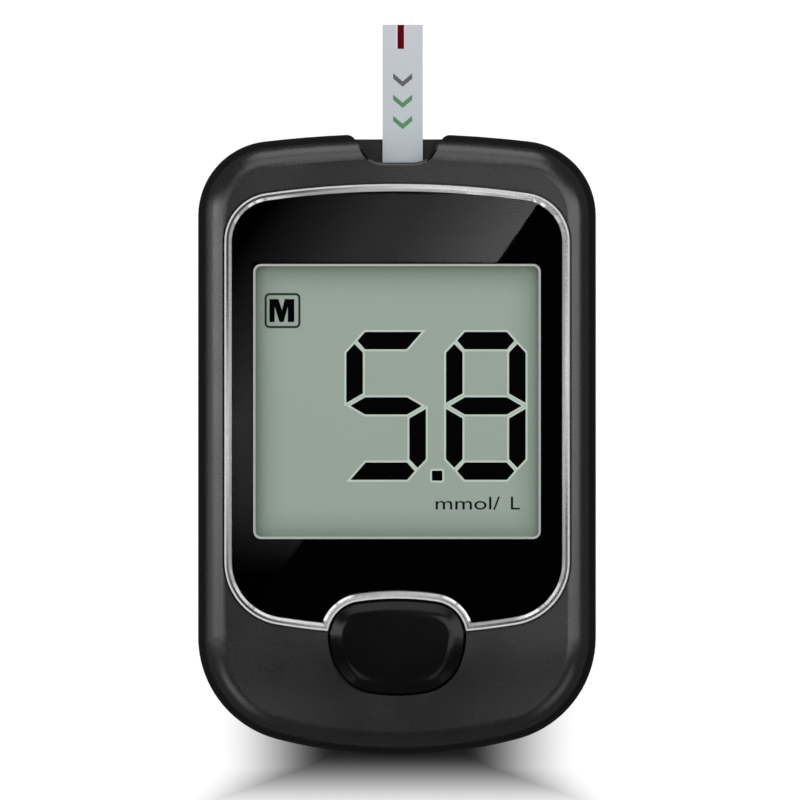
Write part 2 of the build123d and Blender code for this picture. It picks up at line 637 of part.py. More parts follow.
def port_insert():
    """Black shelf that closes the notch below the strip."""
    half = INSERT_HALF_W
    low = PARTING_Z + MATE_GAP
    back = PORT_FLAT_Y - INSERT_DEPTH
    front = END_Y - SIDE_WALL - MATE_GAP - PORT_FLANGE_SETBACK
    shelf = block(PORT_X - half, PORT_X + half, back, PORT_FLAT_Y, low, SHELF_Z)
    flange = half + PORT_FLANGE
    return shelf + block(PORT_X - flange, PORT_X + flange, back, front, low, SHELF_Z)


# ------------------------------------------------------------- battery cover
def cover_hook(y):
    """One C-shaped hook that runs along the right-hand rail."""
    leg = RAIL_SIDE + SLIDE_GAP
    low = y - HOOK_L / 2
    high = y + HOOK_L / 2
    upright = block(leg, HOOK_SIDE, low, high, COVER_T / 2, HOOK_TOP_Z)
    return upright + block(BAY_SIDE + PLAY_GAP, leg, low, high, HOOK_LIP_Z, HOOK_TOP_Z)


def thumb_grip():
    """Recess with cross ridges, as one cutter."""
    pad = plate(0, GRIP_Y, GRIP_W, GRIP_L, -OVERRUN, GRIP_DEPTH, GRIP_CORNER_R)
    pitch = GRIP_L / (GRIP_RIDGES + 1)
    for row in range(GRIP_RIDGES):
        y = GRIP_Y + (row - (GRIP_RIDGES - 1) / 2) * pitch
        pad -= block(-GRIP_W, GRIP_W, y - pitch / 4, y + pitch / 4, 0.0, GRIP_DEPTH + OVERRUN)
    return pad


def slide_arrow():
    """Engraved arrow that points the way the cover slides."""
    tip = (0, ARROW_Y - ARROW_L / 2)
    left = (-ARROW_W / 2, ARROW_Y + ARROW_L / 2)
    right = (ARROW_W / 2, ARROW_Y + ARROW_L / 2)
    return prism(make_face(Polyline(tip, right, left, close=True)), -OVERRUN, ARROW_DEPTH)


def battery_cover():
    """Sliding cover: back plate, curved end wall and hooks for the rails."""
    skin = case_form() - case_form(COVER_T, COVER_T, BODY_T - COVER_T)
    half = COVER_W / 2
    cover = skin & block(-half, half, -HUGE, BAY_TOP_Y - SLIDE_GAP, -OVERRUN, COVER_RISE)
    hooks = [both_sides(cover_hook(BAY_TOP_Y - drop)) for drop in HOOK_FROM_BAY_TOP]
    return cover + hooks - [thumb_grip(), slide_arrow()]


# ------------------------------------------------------ cells and contacts
def battery(x, towards_port):
    """One AAA cell. Its nub points to the strip end when towards_port is true."""
    body_l = CELL_L - CELL_NUB_H
    can = Pos(0, 0, body_l / 2) * Cylinder(CELL_R, body_l)
    can = fillet(can.edges().filter_by(GeomType.CIRCLE), CELL_EDGE_R)
    nub = Pos(0, 0, body_l + CELL_NUB_H / 2) * Cylinder(CELL_NUB_R, CELL_NUB_H)
    cell = can + nub
    plate_gap = CONTACT_PLATE_T + SEAT_GAP
    if towards_port:
        return Pos(x, BAY_TOP_Y - plate_gap - CELL_L, CELL_Z) * Rot(-90, 0, 0) * cell
    return Pos(x, BAY_BOTTOM_Y + plate_gap + CELL_L, CELL_Z) * Rot(90, 0, 0) * cell


def battery_plates():
    """Two single contact plates, each with a tab soldered to the board."""
    half = CONTACT_PLATE_W / 2
    low = BAY_TOP_Y - CONTACT_PLATE_T
    z0 = CELL_Z - CONTACT_PLATE_H / 2
    sheet = block(-half, half, low, BAY_TOP_Y, z0, z0 + CONTACT_PLATE_H)
    sheet += block(-TAB_W / 2, TAB_W / 2, low, BAY_TOP_Y, CELL_Z, BOARD_Z)
    return Compound([Pos(x, 0, 0) * sheet for x in (-CELL_X, CELL_X)])


def battery_bridge():
    """One plate that joins both cells at the button end of the bay."""
    half = CELL_X + CONTACT_PLATE_W / 2
    z0 = CELL_Z - CONTACT_PLATE_H / 2
    return block(-half, half, BAY_BOTTOM_Y, BAY_BOTTOM_Y + CONTACT_PLATE_T, z0, z0 + CONTACT_PLATE_H)


def battery_spring(x, towards_port):
    """Conical spring between a plate and the flat end of a cell."""
    height = SPRING_ROOM - 2 * SPRING_WIRE_R - 2 * FIT_GAP
    path = Helix(height / SPRING_TURNS, height, SPRING_BIG_R, cone_angle=SPRING_CONE_DEG)
    wire = sweep(Plane(path @ 0, z_dir=path % 0) * Circle(SPRING_WIRE_R), path)
    lift = CONTACT_PLATE_T + FIT_GAP + SPRING_WIRE_R
    if towards_port:
        return Pos(x, BAY_BOTTOM_Y + lift, CELL_Z) * Rot(-90, 0, 0) * wire
    return Pos(x, BAY_TOP_Y - lift, CELL_Z) * Rot(90, 0, 0) * wire


# --------------------------------------------------------------- front optics
def ring_outline(inset):
    """Bezel outline with the bite that follows the top of the button."""
    return bezel_outline(inset) - button_outline(-inset)


def ring_form(low, start, high, inset, end_inset):
    """Solid inside the ring outline: straight sides to start, then a slope to high."""
    ring = prism(bezel_outline(inset), low, start)
    ring += bevel(bezel_outline, start, inset, high, end_inset)
    bite = prism(button_outline(-inset), low, start)
    bite += bevel(button_outline, start, -inset, high, -end_inset)
    return ring - bite


def bezel_trim():
    """Bright ring round the lens, bevelled on both sides."""
    top = BODY_T + BEZEL_PROUD
    outer = ring_form(RECESS_Z, top - BEZEL_OUTER_CHAMFER, top, 0.0, BEZEL_OUTER_CHAMFER)
    slope_w = BEZEL_INNER_CHAMFER + MATE_GAP
    inner = ring_form(
        RECESS_Z - OVERRUN, top - BEZEL_INNER_CHAMFER, top + MATE_GAP,
        BEZEL_BAND, BEZEL_BAND - slope_w,
    )
    return outer - inner


def lens_outline():
    """Outline of the lens, with a fit gap inside the ring."""
    return ring_outline(BEZEL_BAND + FIT_GAP)


def window_outline():
    """Clear window in the printed mask."""
    return Pos(0, WINDOW_Y) * RectangleRounded(WINDOW_W, WINDOW_H, WINDOW_R)


def lens_gasket():
    """Adhesive frame under the lens."""
    clear = Pos(0, WINDOW_Y) * RectangleRounded(
        WINDOW_W + 2 * APERTURE_MARGIN, WINDOW_H + 2 * APERTURE_MARGIN, WINDOW_R + APERTURE_MARGIN
    )
    return prism(lens_outline() - clear, RECESS_Z, RECESS_Z + GASKET_T)


def lens_mask():
    """Opaque printed film with the display window."""
    return prism(lens_outline() - window_outline(), RECESS_Z + GASKET_T, LENS_Z)


def display_lens():
    """Clear hard plastic lens."""
    return prism(lens_outline(), LENS_Z, LENS_Z + LENS_T)


# -------------------------------------------------------------------- display
def lcd_rear_glass():
    """Lower glass with the contact ledge."""
    return glass_sheet(GLASS_Z, REAR_GLASS_T, 0.0)


def lcd_front_glass():
    """Upper glass, shorter than the lower one by the contact ledge."""
    return glass_sheet(GLASS_Z + REAR_GLASS_T, FRONT_GLASS_T, LEDGE_H - GLASS_MARGIN_Y)


def lcd_polarizer():
    """Film on the upper glass."""
    low = GLASS_Z + REAR_GLASS_T + FRONT_GLASS_T
    return glass_sheet(low, FILM_T, LEDGE_H - GLASS_MARGIN_Y)


def glass_sheet(z, thickness, short):
    """One sheet of the display, shortened at its lower edge."""
    half = GLASS_W / 2
    return block(-half, half, GLASS_BOTTOM_Y + short, GLASS_TOP_Y, z, z + thickness)


def lcd_reflector():
    """Reflecting film under the lower glass, between the rubber strips."""
    half = GLASS_W / 2
    low = GLASS_BOTTOM_Y + ZEBRA_W + MATE_GAP
    high = GLASS_TOP_Y - ZEBRA_W - MATE_GAP
    return block(-half, half, low, high, GLASS_Z - FILM_T, GLASS_Z)


def lcd_frame():
    """Plastic frame that holds the display on the board."""
    inner_w = GLASS_W + 2 * MATE_GAP
    inner_h = GLASS_H + 2 * MATE_GAP
    middle = GLASS_TOP_Y - GLASS_H / 2
    wall = 2 * LCD_FRAME_WALL
    outer = Pos(0, middle) * RectangleRounded(inner_w + wall, inner_h + wall, LCD_FRAME_WALL)
    inner = Pos(0, middle) * Rectangle(inner_w, inner_h)
    return prism(outer - inner, BOARD_TOP_Z, INNER_FRONT_Z - SEAT_GAP)


def zebra_connectors():
    """Rubber strips that carry the display signals from the board."""
    half = GLASS_W / 2
    ends = (GLASS_BOTTOM_Y, GLASS_TOP_Y - ZEBRA_W)
    return Compound([block(-half, half, y, y + ZEBRA_W, BOARD_TOP_Z, GLASS_Z) for y in ends])


# --------------------------------------------------------------------- button
def key_top():
    """Raised part of the button: flat top, sloped shoulder and soft edges."""
    form = prism(button_outline(PLAY_GAP), PLUNGER_TOP_Z, BODY_T + OVERRUN) & front_skin(FIT_GAP)
    form = form.solids()[0]
    top = form.faces().sort_by(Axis.Z)[-1]
    rim = shared_edges([top], facing(form, -UPRIGHT, UPRIGHT))
    form = form.chamfer(BUTTON_SLOPE_W, BUTTON_SLOPE_H, rim[:1], face=top)
    crest = shared_edges(facing(form, LEVEL, 1.0), facing(form, UPWARD, LEVEL))
    form = form.fillet(BUTTON_CREST_R, crest[:1])
    edge = shared_edges(facing(form, UPWARD, 1.0), facing(form, -UPRIGHT, UPRIGHT))
    return form.fillet(BUTTON_EDGE_R, edge[:1])


def main_button_cap():
    """Key top with the rim that keeps it in the case."""
    rim = prism(button_outline(-BUTTON_FLANGE), PLUNGER_TOP_Z, BODY_T)
    return key_top() + (rim & front_skin(FRONT_WALL + SEAT_GAP))


def main_switch_body():
    """Tactile switch case, soldered to the board."""
    half = SWITCH_W / 2
    top = BOARD_TOP_Z + SWITCH_H
    case = block(-half, half, BUTTON_Y - half, BUTTON_Y + half, BOARD_TOP_Z, top)
    bore = rod(0, BUTTON_Y, PLUNGER_R + FIT_GAP, BOARD_TOP_Z + SWITCH_FLOOR, top + OVERRUN)
    return case - bore


def main_switch_plunger():
    """Moving pin of the tactile switch, under the button cap."""
    return rod(0, BUTTON_Y, PLUNGER_R, PLUNGER_TOP_Z - PLUNGER_H, PLUNGER_TOP_Z)


# ------------------------------------------------------------ circuit board
def post_notch(x, y):
    """Notch in the board that is open to the side and clears a case post."""
    reach = BOSS_R + PLAY_GAP
    outer = HUGE if x > 0 else -HUGE
    slot = block(min(x, outer), max(x, outer), y - reach, y + reach, 0.0, HUGE)
    return slot + rod(x, y, reach, 0.0, HUGE)


def main_board():
    """Printed circuit board, cut back round the case posts."""
    outline = body_outline(SIDE_WALL + BOARD_EDGE_GAP)
    outline -= Pos(0, BOARD_TOP_Y + HUGE / 2) * Rectangle(HUGE, HUGE)
    board = prism(outline, BOARD_Z, BOARD_TOP_Z)
    cuts = [post_notch(x, y) for x, y in BOSS_XY]
    cuts += rods_at(BOARD_SCREW_XY, BOARD_SCREW_R + MATE_GAP, 0.0, HUGE)
    return board - cuts


def board_screws():
    """Small pan head screws from below the board into the front case."""
    screws = []
    for x, y in BOARD_SCREW_XY:
        end_z = BOARD_Z - BOARD_SCREW_HEAD_H
        screw = rod(0, 0, BOARD_SCREW_HEAD_R, end_z, BOARD_Z)
        screw += rod(0, 0, BOARD_SCREW_R, BOARD_Z, BOARD_Z + BOARD_SCREW_L)
        screw -= cross_recess(BOARD_SCREW_CROSS_L, BOARD_SCREW_CROSS_W, end_z)
        screws.append(Pos(x, y, 0) * screw)
    return Compound(screws)


def chip(x, y, width, height):
    """A square chip body on the display side of the board."""
    body = block(x - width / 2, x + width / 2, y - width / 2, y + width / 2,
                 BOARD_TOP_Z, BOARD_TOP_Z + height)
    return chamfer(body.edges().group_by(Axis.Z)[-1], CHIP_BEVEL)


def board_chips():
    """Amplifier, memory and supply chips."""
    return Compound([chip(x, y, CHIP_W, CHIP_H) for x, y in CHIP_XY])


def crystal_can():
    """Clock crystal, lying on the back of the board."""
    x, y = CRYSTAL_XY
    return Pos(x, y, BOARD_Z - CRYSTAL_R) * Rot(90, 0, 0) * Cylinder(CRYSTAL_R, CRYSTAL_L)


def piezo_buzzer():
    """Round buzzer with its sound hole, on the back of the board."""
    x, y = BUZZER_XY
    low = BOARD_Z - BUZZER_H
    return rod(x, y, BUZZER_R, low, BOARD_Z) - rod(x, y, BUZZER_HOLE_R, 0.0, low + BUZZER_HOLE_DEPTH)


# ------------------------------------------------------------ strip connector
def trace_places():
    """Centre lines of the strip's contact traces."""
    first = STRIP_X - STRIP_TRACE_PITCH * (STRIP_TRACE_COUNT - 1) / 2
    return [first + STRIP_TRACE_PITCH * row for row in range(STRIP_TRACE_COUNT)]


def strip_connector_housing():
    """Socket that takes the end of the strip."""
    half = CONNECTOR_W / 2
    back = CONNECTOR_BACK_Y
    top = CONNECTOR_TOP_Z
    body = block(STRIP_X - half, STRIP_X + half, back, CONNECTOR_MOUTH_Y, BOARD_TOP_Z, top)
    slot = STRIP_W / 2 + MATE_GAP
    slot_top = STRIP_TOP_Z + PLAY_GAP
    floor = STRIP_Z - SEAT_GAP
    cuts = [block(STRIP_X - slot, STRIP_X + slot, STRIP_INNER_Y - SEAT_GAP,
                  CONNECTOR_MOUTH_Y + OVERRUN, floor, slot_top)]
    side = CONTACT_W / 2 + MATE_GAP
    roof = top - 2 * CONTACT_T
    for x in trace_places():
        cuts.append(block(x - side, x + side, back - OVERRUN, back + 3 * CONTACT_T, 0.0, roof))
        cuts.append(block(x - side, x + side, back, STRIP_INNER_Y + CONTACT_REACH, floor, roof))
    return body - cuts


def strip_connector_contacts():
    """Leaf springs that press on the strip's traces."""
    half_t = CONTACT_T / 2
    leg_y = CONNECTOR_BACK_Y + CONTACT_T
    arm_z = CONNECTOR_TOP_Z - 4 * CONTACT_T
    touch_z = TRACE_TOP_Z + FIT_GAP + half_t
    touch_y = STRIP_INNER_Y + CONTACT_REACH / 2
    path = [
        (leg_y, BOARD_TOP_Z),
        (leg_y, arm_z),
        (touch_y - CONTACT_RUN, arm_z),
        (touch_y, touch_z),
        (touch_y + CONTACT_RUN / 2, arm_z - CONTACT_T),
    ]
    leaf = Plane.YZ * trace(Polyline(*path), CONTACT_T)
    blade = extrude(leaf, amount=CONTACT_W / 2, both=True)
    blade &= block(-HUGE, HUGE, -HUGE, HUGE, BOARD_TOP_Z, HUGE)
    return Compound([Pos(x, 0, 0) * blade for x in trace_places()])


# ------------------------------------------------------------------ test strip
def strip_sheet(y0, y1, z0, thickness):
    """One layer of the strip."""
    half = STRIP_W / 2
    return block(STRIP_X - half, STRIP_X + half, y0, y1, z0, z0 + thickness)


def strip_base():
    """Carrier sheet of the strip."""
    return strip_sheet(STRIP_INNER_Y, STRIP_END_Y, STRIP_Z, STRIP_BASE_T)


def strip_electrodes():
    """Printed carbon traces on the carrier."""
    low = STRIP_Z + STRIP_BASE_T
    half = STRIP_TRACE_W / 2
    ends = (STRIP_INNER_Y + MATE_GAP, STRIP_END_Y - STRIP_MARK_L)
    return Compound([block(x - half, x + half, *ends, low, TRACE_TOP_Z) for x in trace_places()])


def strip_spacer():
    """Adhesive spacer that leaves the contact tail bare."""
    return strip_sheet(STRIP_INNER_Y + STRIP_TAIL, STRIP_END_Y, TRACE_TOP_Z, STRIP_SPACER_T)


def strip_top_film():
    """Cover film over the spacer."""
    low = TRACE_TOP_Z + STRIP_SPACER_T
    return strip_sheet(STRIP_INNER_Y + STRIP_TAIL, STRIP_END_Y, low, STRIP_FILM_T)


def strip_fill_mark():
    """Dark bar that shows where the drop of blood goes in."""
    half = STRIP_MARK_W / 2
    x = STRIP_X + STRIP_MARK_OFFSET
    low = STRIP_END_Y - STRIP_MARK_L
    return block(x - half, x + half, low, STRIP_END_Y, STRIP_TOP_Z, STRIP_TOP_Z + STRIP_MARK_T)


def rear_label():
    """Blank label, flush in its recess on the back."""
    width = LABEL_W - 2 * MATE_GAP
    height = LABEL_H - 2 * MATE_GAP
    return plate(0, LABEL_Y, width, height, 0.0, LABEL_T, LABEL_R - MATE_GAP)


# ---------------------------------------------------------------------- nodes
def build_nodes():
    """Every piece of the meter by its node name."""
    return {
        "front_case": front_case(),
        "rear_case": rear_case(),
        "case_screws": case_screws(),
        "bezel_trim": bezel_trim(),
        "display_lens": display_lens(),
        "lens_mask": lens_mask(),
        "lens_gasket": lens_gasket(),
        "lcd_front_glass": lcd_front_glass(),
        "lcd_rear_glass": lcd_rear_glass(),
        "lcd_polarizer": lcd_polarizer(),
        "lcd_reflector": lcd_reflector(),
        "lcd_frame": lcd_frame(),
        "zebra_connectors": zebra_connectors(),
        "main_board": main_board(),
        "board_screws": board_screws(),
        "mcu_chip": chip(*MCU_XY, MCU_W, MCU_H),
        "board_chips": board_chips(),
        "crystal_can": crystal_can(),
        "piezo_buzzer": piezo_buzzer(),
        "strip_connector_housing": strip_connector_housing(),
        "strip_connector_contacts": strip_connector_contacts(),
        "strip_port_insert": port_insert(),
        "main_switch_body": main_switch_body(),
        "main_switch_plunger": main_switch_plunger(),
        "main_button_cap": main_button_cap(),
        "battery_left": battery(-CELL_X, True),
        "battery_right": battery(CELL_X, False),
        "battery_spring_left": battery_spring(-CELL_X, True),
        "battery_spring_right": battery_spring(CELL_X, False),
        "battery_plates": battery_plates(),
        "battery_bridge": battery_bridge(),
        "battery_cover": battery_cover(),
        "rear_label": rear_label(),
        "strip_base": strip_base(),
        "strip_electrodes": strip_electrodes(),
        "strip_spacer": strip_spacer(),
        "strip_top_film": strip_top_film(),
        "strip_fill_mark": strip_fill_mark(),
    }


os.makedirs("parts", exist_ok=True)
for node, shape in build_nodes().items():
    export_step(shape, f"parts/{node}.step")
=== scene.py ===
"""Looks of a pocket blood glucose meter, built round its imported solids.

The solids are the frame: they keep their shapes and places and get a finish each. The display's
signs, the lip of the notch, the lines printed on window, strip and label, the lamps and the
camera are made here. Sizes in the classes are in millimetres and become metres where a mesh or a
pattern is made; only the lamps and the floor are placed in metres.
"""

import logging
import math
from dataclasses import dataclass, field
from enum import Enum
from typing import Any

import bpy
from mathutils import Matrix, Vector


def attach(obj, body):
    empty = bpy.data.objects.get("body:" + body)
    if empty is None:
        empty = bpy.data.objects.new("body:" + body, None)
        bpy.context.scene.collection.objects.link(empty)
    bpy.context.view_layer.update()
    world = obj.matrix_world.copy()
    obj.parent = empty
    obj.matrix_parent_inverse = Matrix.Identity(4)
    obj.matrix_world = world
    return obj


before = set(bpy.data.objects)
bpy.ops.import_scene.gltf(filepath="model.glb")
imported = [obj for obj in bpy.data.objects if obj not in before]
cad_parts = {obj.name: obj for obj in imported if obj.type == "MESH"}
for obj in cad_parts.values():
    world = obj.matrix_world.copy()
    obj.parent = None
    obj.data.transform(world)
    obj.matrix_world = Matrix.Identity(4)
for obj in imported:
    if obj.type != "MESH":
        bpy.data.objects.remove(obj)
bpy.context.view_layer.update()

MM = 0.001
LOG = logging.getLogger("meter")

Point = tuple[float, float]
Spot = tuple[float, float, float]
Colour = tuple[float, float, float]

SOFT_DETAIL, RICH_DETAIL, FULL_DETAIL = 2.0, 3.0, 4.0    # finer layers of a noise
NOISE_RANGE, NOISE_CORE = (0.3, 0.7), (0.35, 0.65)       # where most of a noise lies
MIX_SHARE, MIX_FIRST, MIX_SECOND, MIX_RESULT = 0, 6, 7, 2    # sockets of a mix of two colours
WAVER = 0.1                  # share by which a roughness varies over a surface
LINE_PULL = 0.04             # squeeze of a noise along the lines of a worked metal
HALF_STEP = 0.5              # between 0 and 1, where a count or a turn is split
QUARTER_TURN = math.radians(90)
CORNER_STEPS = 8             # parts of a round corner

WHITE: Colour = (1.0, 1.0, 1.0)
WINDOW_CENTRE: Point = (0.0, 6.05)
WINDOW_SIZE: Point = (40.7, 38.9)


class Body(Enum):
    """Moving and fixed bodies of the meter."""

    CASE = "meter_body"
    BUTTON = "main_button"
    COVER = "cover"
    STRIP = "test_strip"


# --- shader helper -------------------------------------------------------------------------


class NodeSheet:
    """Fills one node tree from short calls."""

    def __init__(self, tree: bpy.types.NodeTree) -> None:
        """Empties the tree and keeps it.

        Args:
            tree: Node tree of a material or of the world.
        """
        self.tree = tree
        tree.nodes.clear()

    def node(self, kind: str, sockets: dict[Any, Any] | None = None,
             **options: Any) -> bpy.types.Node:
        """Adds a node, sets its options and fills its inputs.

        Args:
            kind: Type name of the node without its ShaderNode prefix.
            sockets: Input name or number to a value, or to the output that is linked to it.
            **options: Settings of the node itself.

        Returns:
            The new node.
        """
        made = self.tree.nodes.new("ShaderNode" + kind)
        for key, value in options.items():
            setattr(made, key, value)
        for key, value in (sockets or {}).items():
            if isinstance(value, bpy.types.NodeSocket):
                self.tree.links.new(value, made.inputs[key])
            else:
                made.inputs[key].default_value = value
        return made

    def place(self) -> bpy.types.NodeSocket:
        """Output with the point's place in the frame, in metres."""
        return self.node("TexCoord").outputs["Object"]

    def axes(self, place: bpy.types.NodeSocket) -> list[bpy.types.NodeSocket]:
        """Outputs with the three coordinates of a place."""
        return list(self.node("SeparateXYZ", {0: place}).outputs)

    def math(self, operation: str, first: Any, second: Any = 0.0) -> bpy.types.NodeSocket:
        """Output of one sum on two values or outputs.

        Args:
            operation: Name of the sum, such as MULTIPLY.
            first: First value or output.
            second: Second value or output.

        Returns:
            The output with the result.
        """
        return self.node("Math", {0: first, 1: second}, operation=operation).outputs[0]

    def grain(self, size: float, detail: float = SOFT_DETAIL,
              place: bpy.types.NodeSocket | None = None) -> bpy.types.NodeSocket:
        """Output of a cloudy noise from 0 to 1.

        Args:
            size: Width of one cloud in millimetres.
            detail: Number of finer layers.
            place: Output with the place to read, or None for the point's own.

        Returns:
            The output with the noise.
        """
        sockets = {"Vector": place or self.place(), "Scale": 1.0 / (size * MM), "Detail": detail}
        return self.node("TexNoise", sockets).outputs[0]

    def spread(self, value: Any, low: float, high: float, to_low: float, to_high: float,
               smooth: bool = False) -> bpy.types.NodeSocket:
        """Output that moves a value from one range to another and holds it there.

        Args:
            value: Output to move.
            low: Start of the first range.
            high: End of the first range.
            to_low: Result at the start.
            to_high: Result at the end.
            smooth: Whether the step is eased at both ends.

        Returns:
            The output with the result.
        """
        kind = "SMOOTHSTEP" if smooth else "LINEAR"
        sockets = dict(enumerate((value, low, high, to_low, to_high)))
        return self.node("MapRange", sockets, interpolation_type=kind).outputs[0]

    def mottle(self, noise: bpy.types.NodeSocket, low: float, high: float) -> bpy.types.NodeSocket:
        """Output that follows a noise from one value to another.

        Args:
            noise: Output of the noise.
            low: Result where the noise is low.
            high: Result where it is high.

        Returns:
            The output with the result.
        """
        return self.spread(noise, *NOISE_RANGE, low, high)

    def waver(self, noise: bpy.types.NodeSocket, value: float,
              share: float = WAVER) -> bpy.types.NodeSocket:
        """Output that follows a noise round a value.

        Args:
            noise: Output of the noise.
            value: Middle of the result.
            share: Part of the value by which it goes down and up.

        Returns:
            The output with the result.
        """
        return self.mottle(noise, value * (1.0 - share), value * (1.0 + share))

    def blend(self, share: Any, first: Any, second: Any) -> bpy.types.NodeSocket:
        """Output of a mix of two colours.

        Args:
            share: Share of the second colour, from 0 to 1.
            first: First colour or output.
            second: Second colour or output.

        Returns:
            The output with the mixed colour.
        """
        sockets = {MIX_SHARE: share}
        for socket, colour in ((MIX_FIRST, first), (MIX_SECOND, second)):
            sockets[socket] = (*colour, 1.0) if isinstance(colour, tuple) else colour
        return self.node("Mix", sockets, data_type="RGBA").outputs[MIX_RESULT]

    def ramp(self, value: Any, stops: tuple[Point, ...]) -> bpy.types.NodeSocket:
        """Output that runs in straight lines through some stops.

        Args:
            value: Output to follow, from 0 to 1.
            stops: Value and result of each stop, in rising order.

        Returns:
            The output with the result.
        """
        made = self.node("ValToRGB", {0: value})
        elements = made.color_ramp.elements
        for number, (at, level) in enumerate(stops):
            stop = elements[number] if number < len(elements) else elements.new(at)
            stop.position = at
            stop.color = (level, level, level, 1.0)
        return made.outputs[0]

    def hump(self, value: Any, centre: Any, flat: float, reach: float) -> bpy.types.NodeSocket:
        """Output that is 1 round a centre and falls to 0 at a distance from it.

        Args:
            value: Output to follow.
            centre: Value or output of the centre.
            flat: Distance at which it starts to fall.
            reach: Distance at which it is 0.

        Returns:
            The output with the result.
        """
        off = self.math("ABSOLUTE", self.math("SUBTRACT", value, centre))
        return self.spread(off, flat, reach, 1.0, 0.0)

    def relief(self, height: bpy.types.NodeSocket, depth: float) -> bpy.types.NodeSocket:
        """Output with the normal of a surface that a height pattern roughens.

        Args:
            height: Pattern from 0 to 1.
            depth: Height of the pattern in millimetres.

        Returns:
            The output with the normal.
        """
        return self.node("Bump", {"Height": height, "Distance": depth * MM}).outputs[0]

    def surface(self, sockets: dict[str, Any]) -> None:
        """Makes the material's surface from the inputs of the usual shader."""
        self.node("OutputMaterial", {0: self.node("BsdfPrincipled", sockets).outputs[0]})

    def glow(self, strength: Any) -> None:
        """Makes the material's surface a white light of some strength."""
        self.node("OutputMaterial", {0: self.node("Emission", {"Strength": strength}).outputs[0]})


def scaled(colour: Colour, share: float) -> Colour:
    """A colour made darker or lighter."""
    return (colour[0] * share, colour[1] * share, colour[2] * share)


# --- finishes ------------------------------------------------------------------------------


@dataclass(frozen=True)
class Finish:
    """Finish with a name; the kinds below say how it looks, with their lengths in millimetres."""

    name: str

    def fill(self, sheet: NodeSheet) -> None:
        """Fills the sheet of the finish's material."""
        raise NotImplementedError

    def material(self) -> bpy.types.Material:
        """Makes the finish's material.

        Returns:
            The material.
        """
        material = bpy.data.materials.new(self.name)
        material.use_nodes = True
        self.fill(NodeSheet(material.node_tree))
        return material


@dataclass(frozen=True)
class Moulded(Finish):
    """Moulded plastic or rubber with a fine eroded grain."""

    colour: Colour
    roughness: float = 0.42
    grain: float = 0.22
    depth: float = 0.004
    cloud: float = 9.0
    uneven: float = 0.12
    speck: float = 0.02
    level: float = 0.5

    def fill(self, sheet: NodeSheet) -> None:
        """Makes the plastic.

        Args:
            sheet: Sheet of the material.
        """
        clouds = sheet.grain(self.cloud, RICH_DETAIL)
        fine = sheet.grain(self.grain)
        dark, light = (scaled(self.colour, 1.0 + share) for share in (-self.uneven, self.uneven))
        rough = sheet.math("ADD", sheet.waver(clouds, self.roughness, self.uneven),
                           sheet.mottle(fine, -self.speck, self.speck))
        sheet.surface({
            "Base Color": sheet.blend(clouds, dark, light),
            "Roughness": rough,
            "Specular IOR Level": self.level,
            "Normal": sheet.relief(fine, self.depth),
        })


class Lay(Enum):
    """Direction of the fine lines on a worked metal."""

    NONE = (1.0, 1.0, 1.0)
    ALONG_X = (LINE_PULL, 1.0, 1.0)
    ALONG_Y = (1.0, LINE_PULL, 1.0)


@dataclass(frozen=True)
class Metal(Finish):
    """Plated, rolled or turned metal."""

    colour: Colour
    roughness: float = 0.3
    line: float = 0.15
    lay: Lay = Lay.NONE
    depth: float = 0.001
    cloud: float = 4.0
    uneven: float = 0.08
    waver: float = 0.15

    def fill(self, sheet: NodeSheet) -> None:
        """Makes the metal.

        Args:
            sheet: Sheet of the material.
        """
        pulled = sheet.node("VectorMath", {0: sheet.place(), 1: self.lay.value},
                            operation="MULTIPLY")
        lines = sheet.grain(self.line, RICH_DETAIL, pulled.outputs[0])
        tone = sheet.grain(self.cloud)
        sheet.surface({
            "Base Color": sheet.blend(tone, scaled(self.colour, 1.0 - self.uneven), self.colour),
            "Metallic": 1.0,
            "Roughness": sheet.waver(lines, self.roughness, self.waver),
            "Normal": sheet.relief(lines, self.depth),
        })


@dataclass(frozen=True)
class ClearSheet(Finish):
    """Clear plastic or glass that lets the lamps through."""

    tint: Colour = WHITE
    roughness: float = 0.02
    index: float = 1.49
    cloud: float = 14.0
    waver: float = 0.2

    def fill(self, sheet: NodeSheet) -> None:
        """Makes the clear plastic.

        Args:
            sheet: Sheet of the material.
        """
        sheet.surface({
            "Base Color": (*self.tint, 1.0),
            "Transmission Weight": 1.0,
            "IOR": self.index,
            "Roughness": sheet.waver(sheet.grain(self.cloud), self.roughness, self.waver),
        })


@dataclass(frozen=True)
class Ink(Finish):
    """Screened ink or dyed film with a faint stipple."""

    colour: Colour
    roughness: float = 0.45
    dot: float = 0.12
    depth: float = 0.001
    uneven: float = 0.08
    level: float = 0.5

    def fill(self, sheet: NodeSheet) -> None:
        """Makes the ink.

        Args:
            sheet: Sheet of the material.
        """
        dots = sheet.grain(self.dot)
        dark, light = (scaled(self.colour, 1.0 + share) for share in (-self.uneven, self.uneven))
        sheet.surface({
            "Base Color": sheet.blend(dots, dark, light),
            "Roughness": sheet.waver(dots, self.roughness),
            "Specular IOR Level": self.level,
            "Normal": sheet.relief(dots, self.depth),
        })


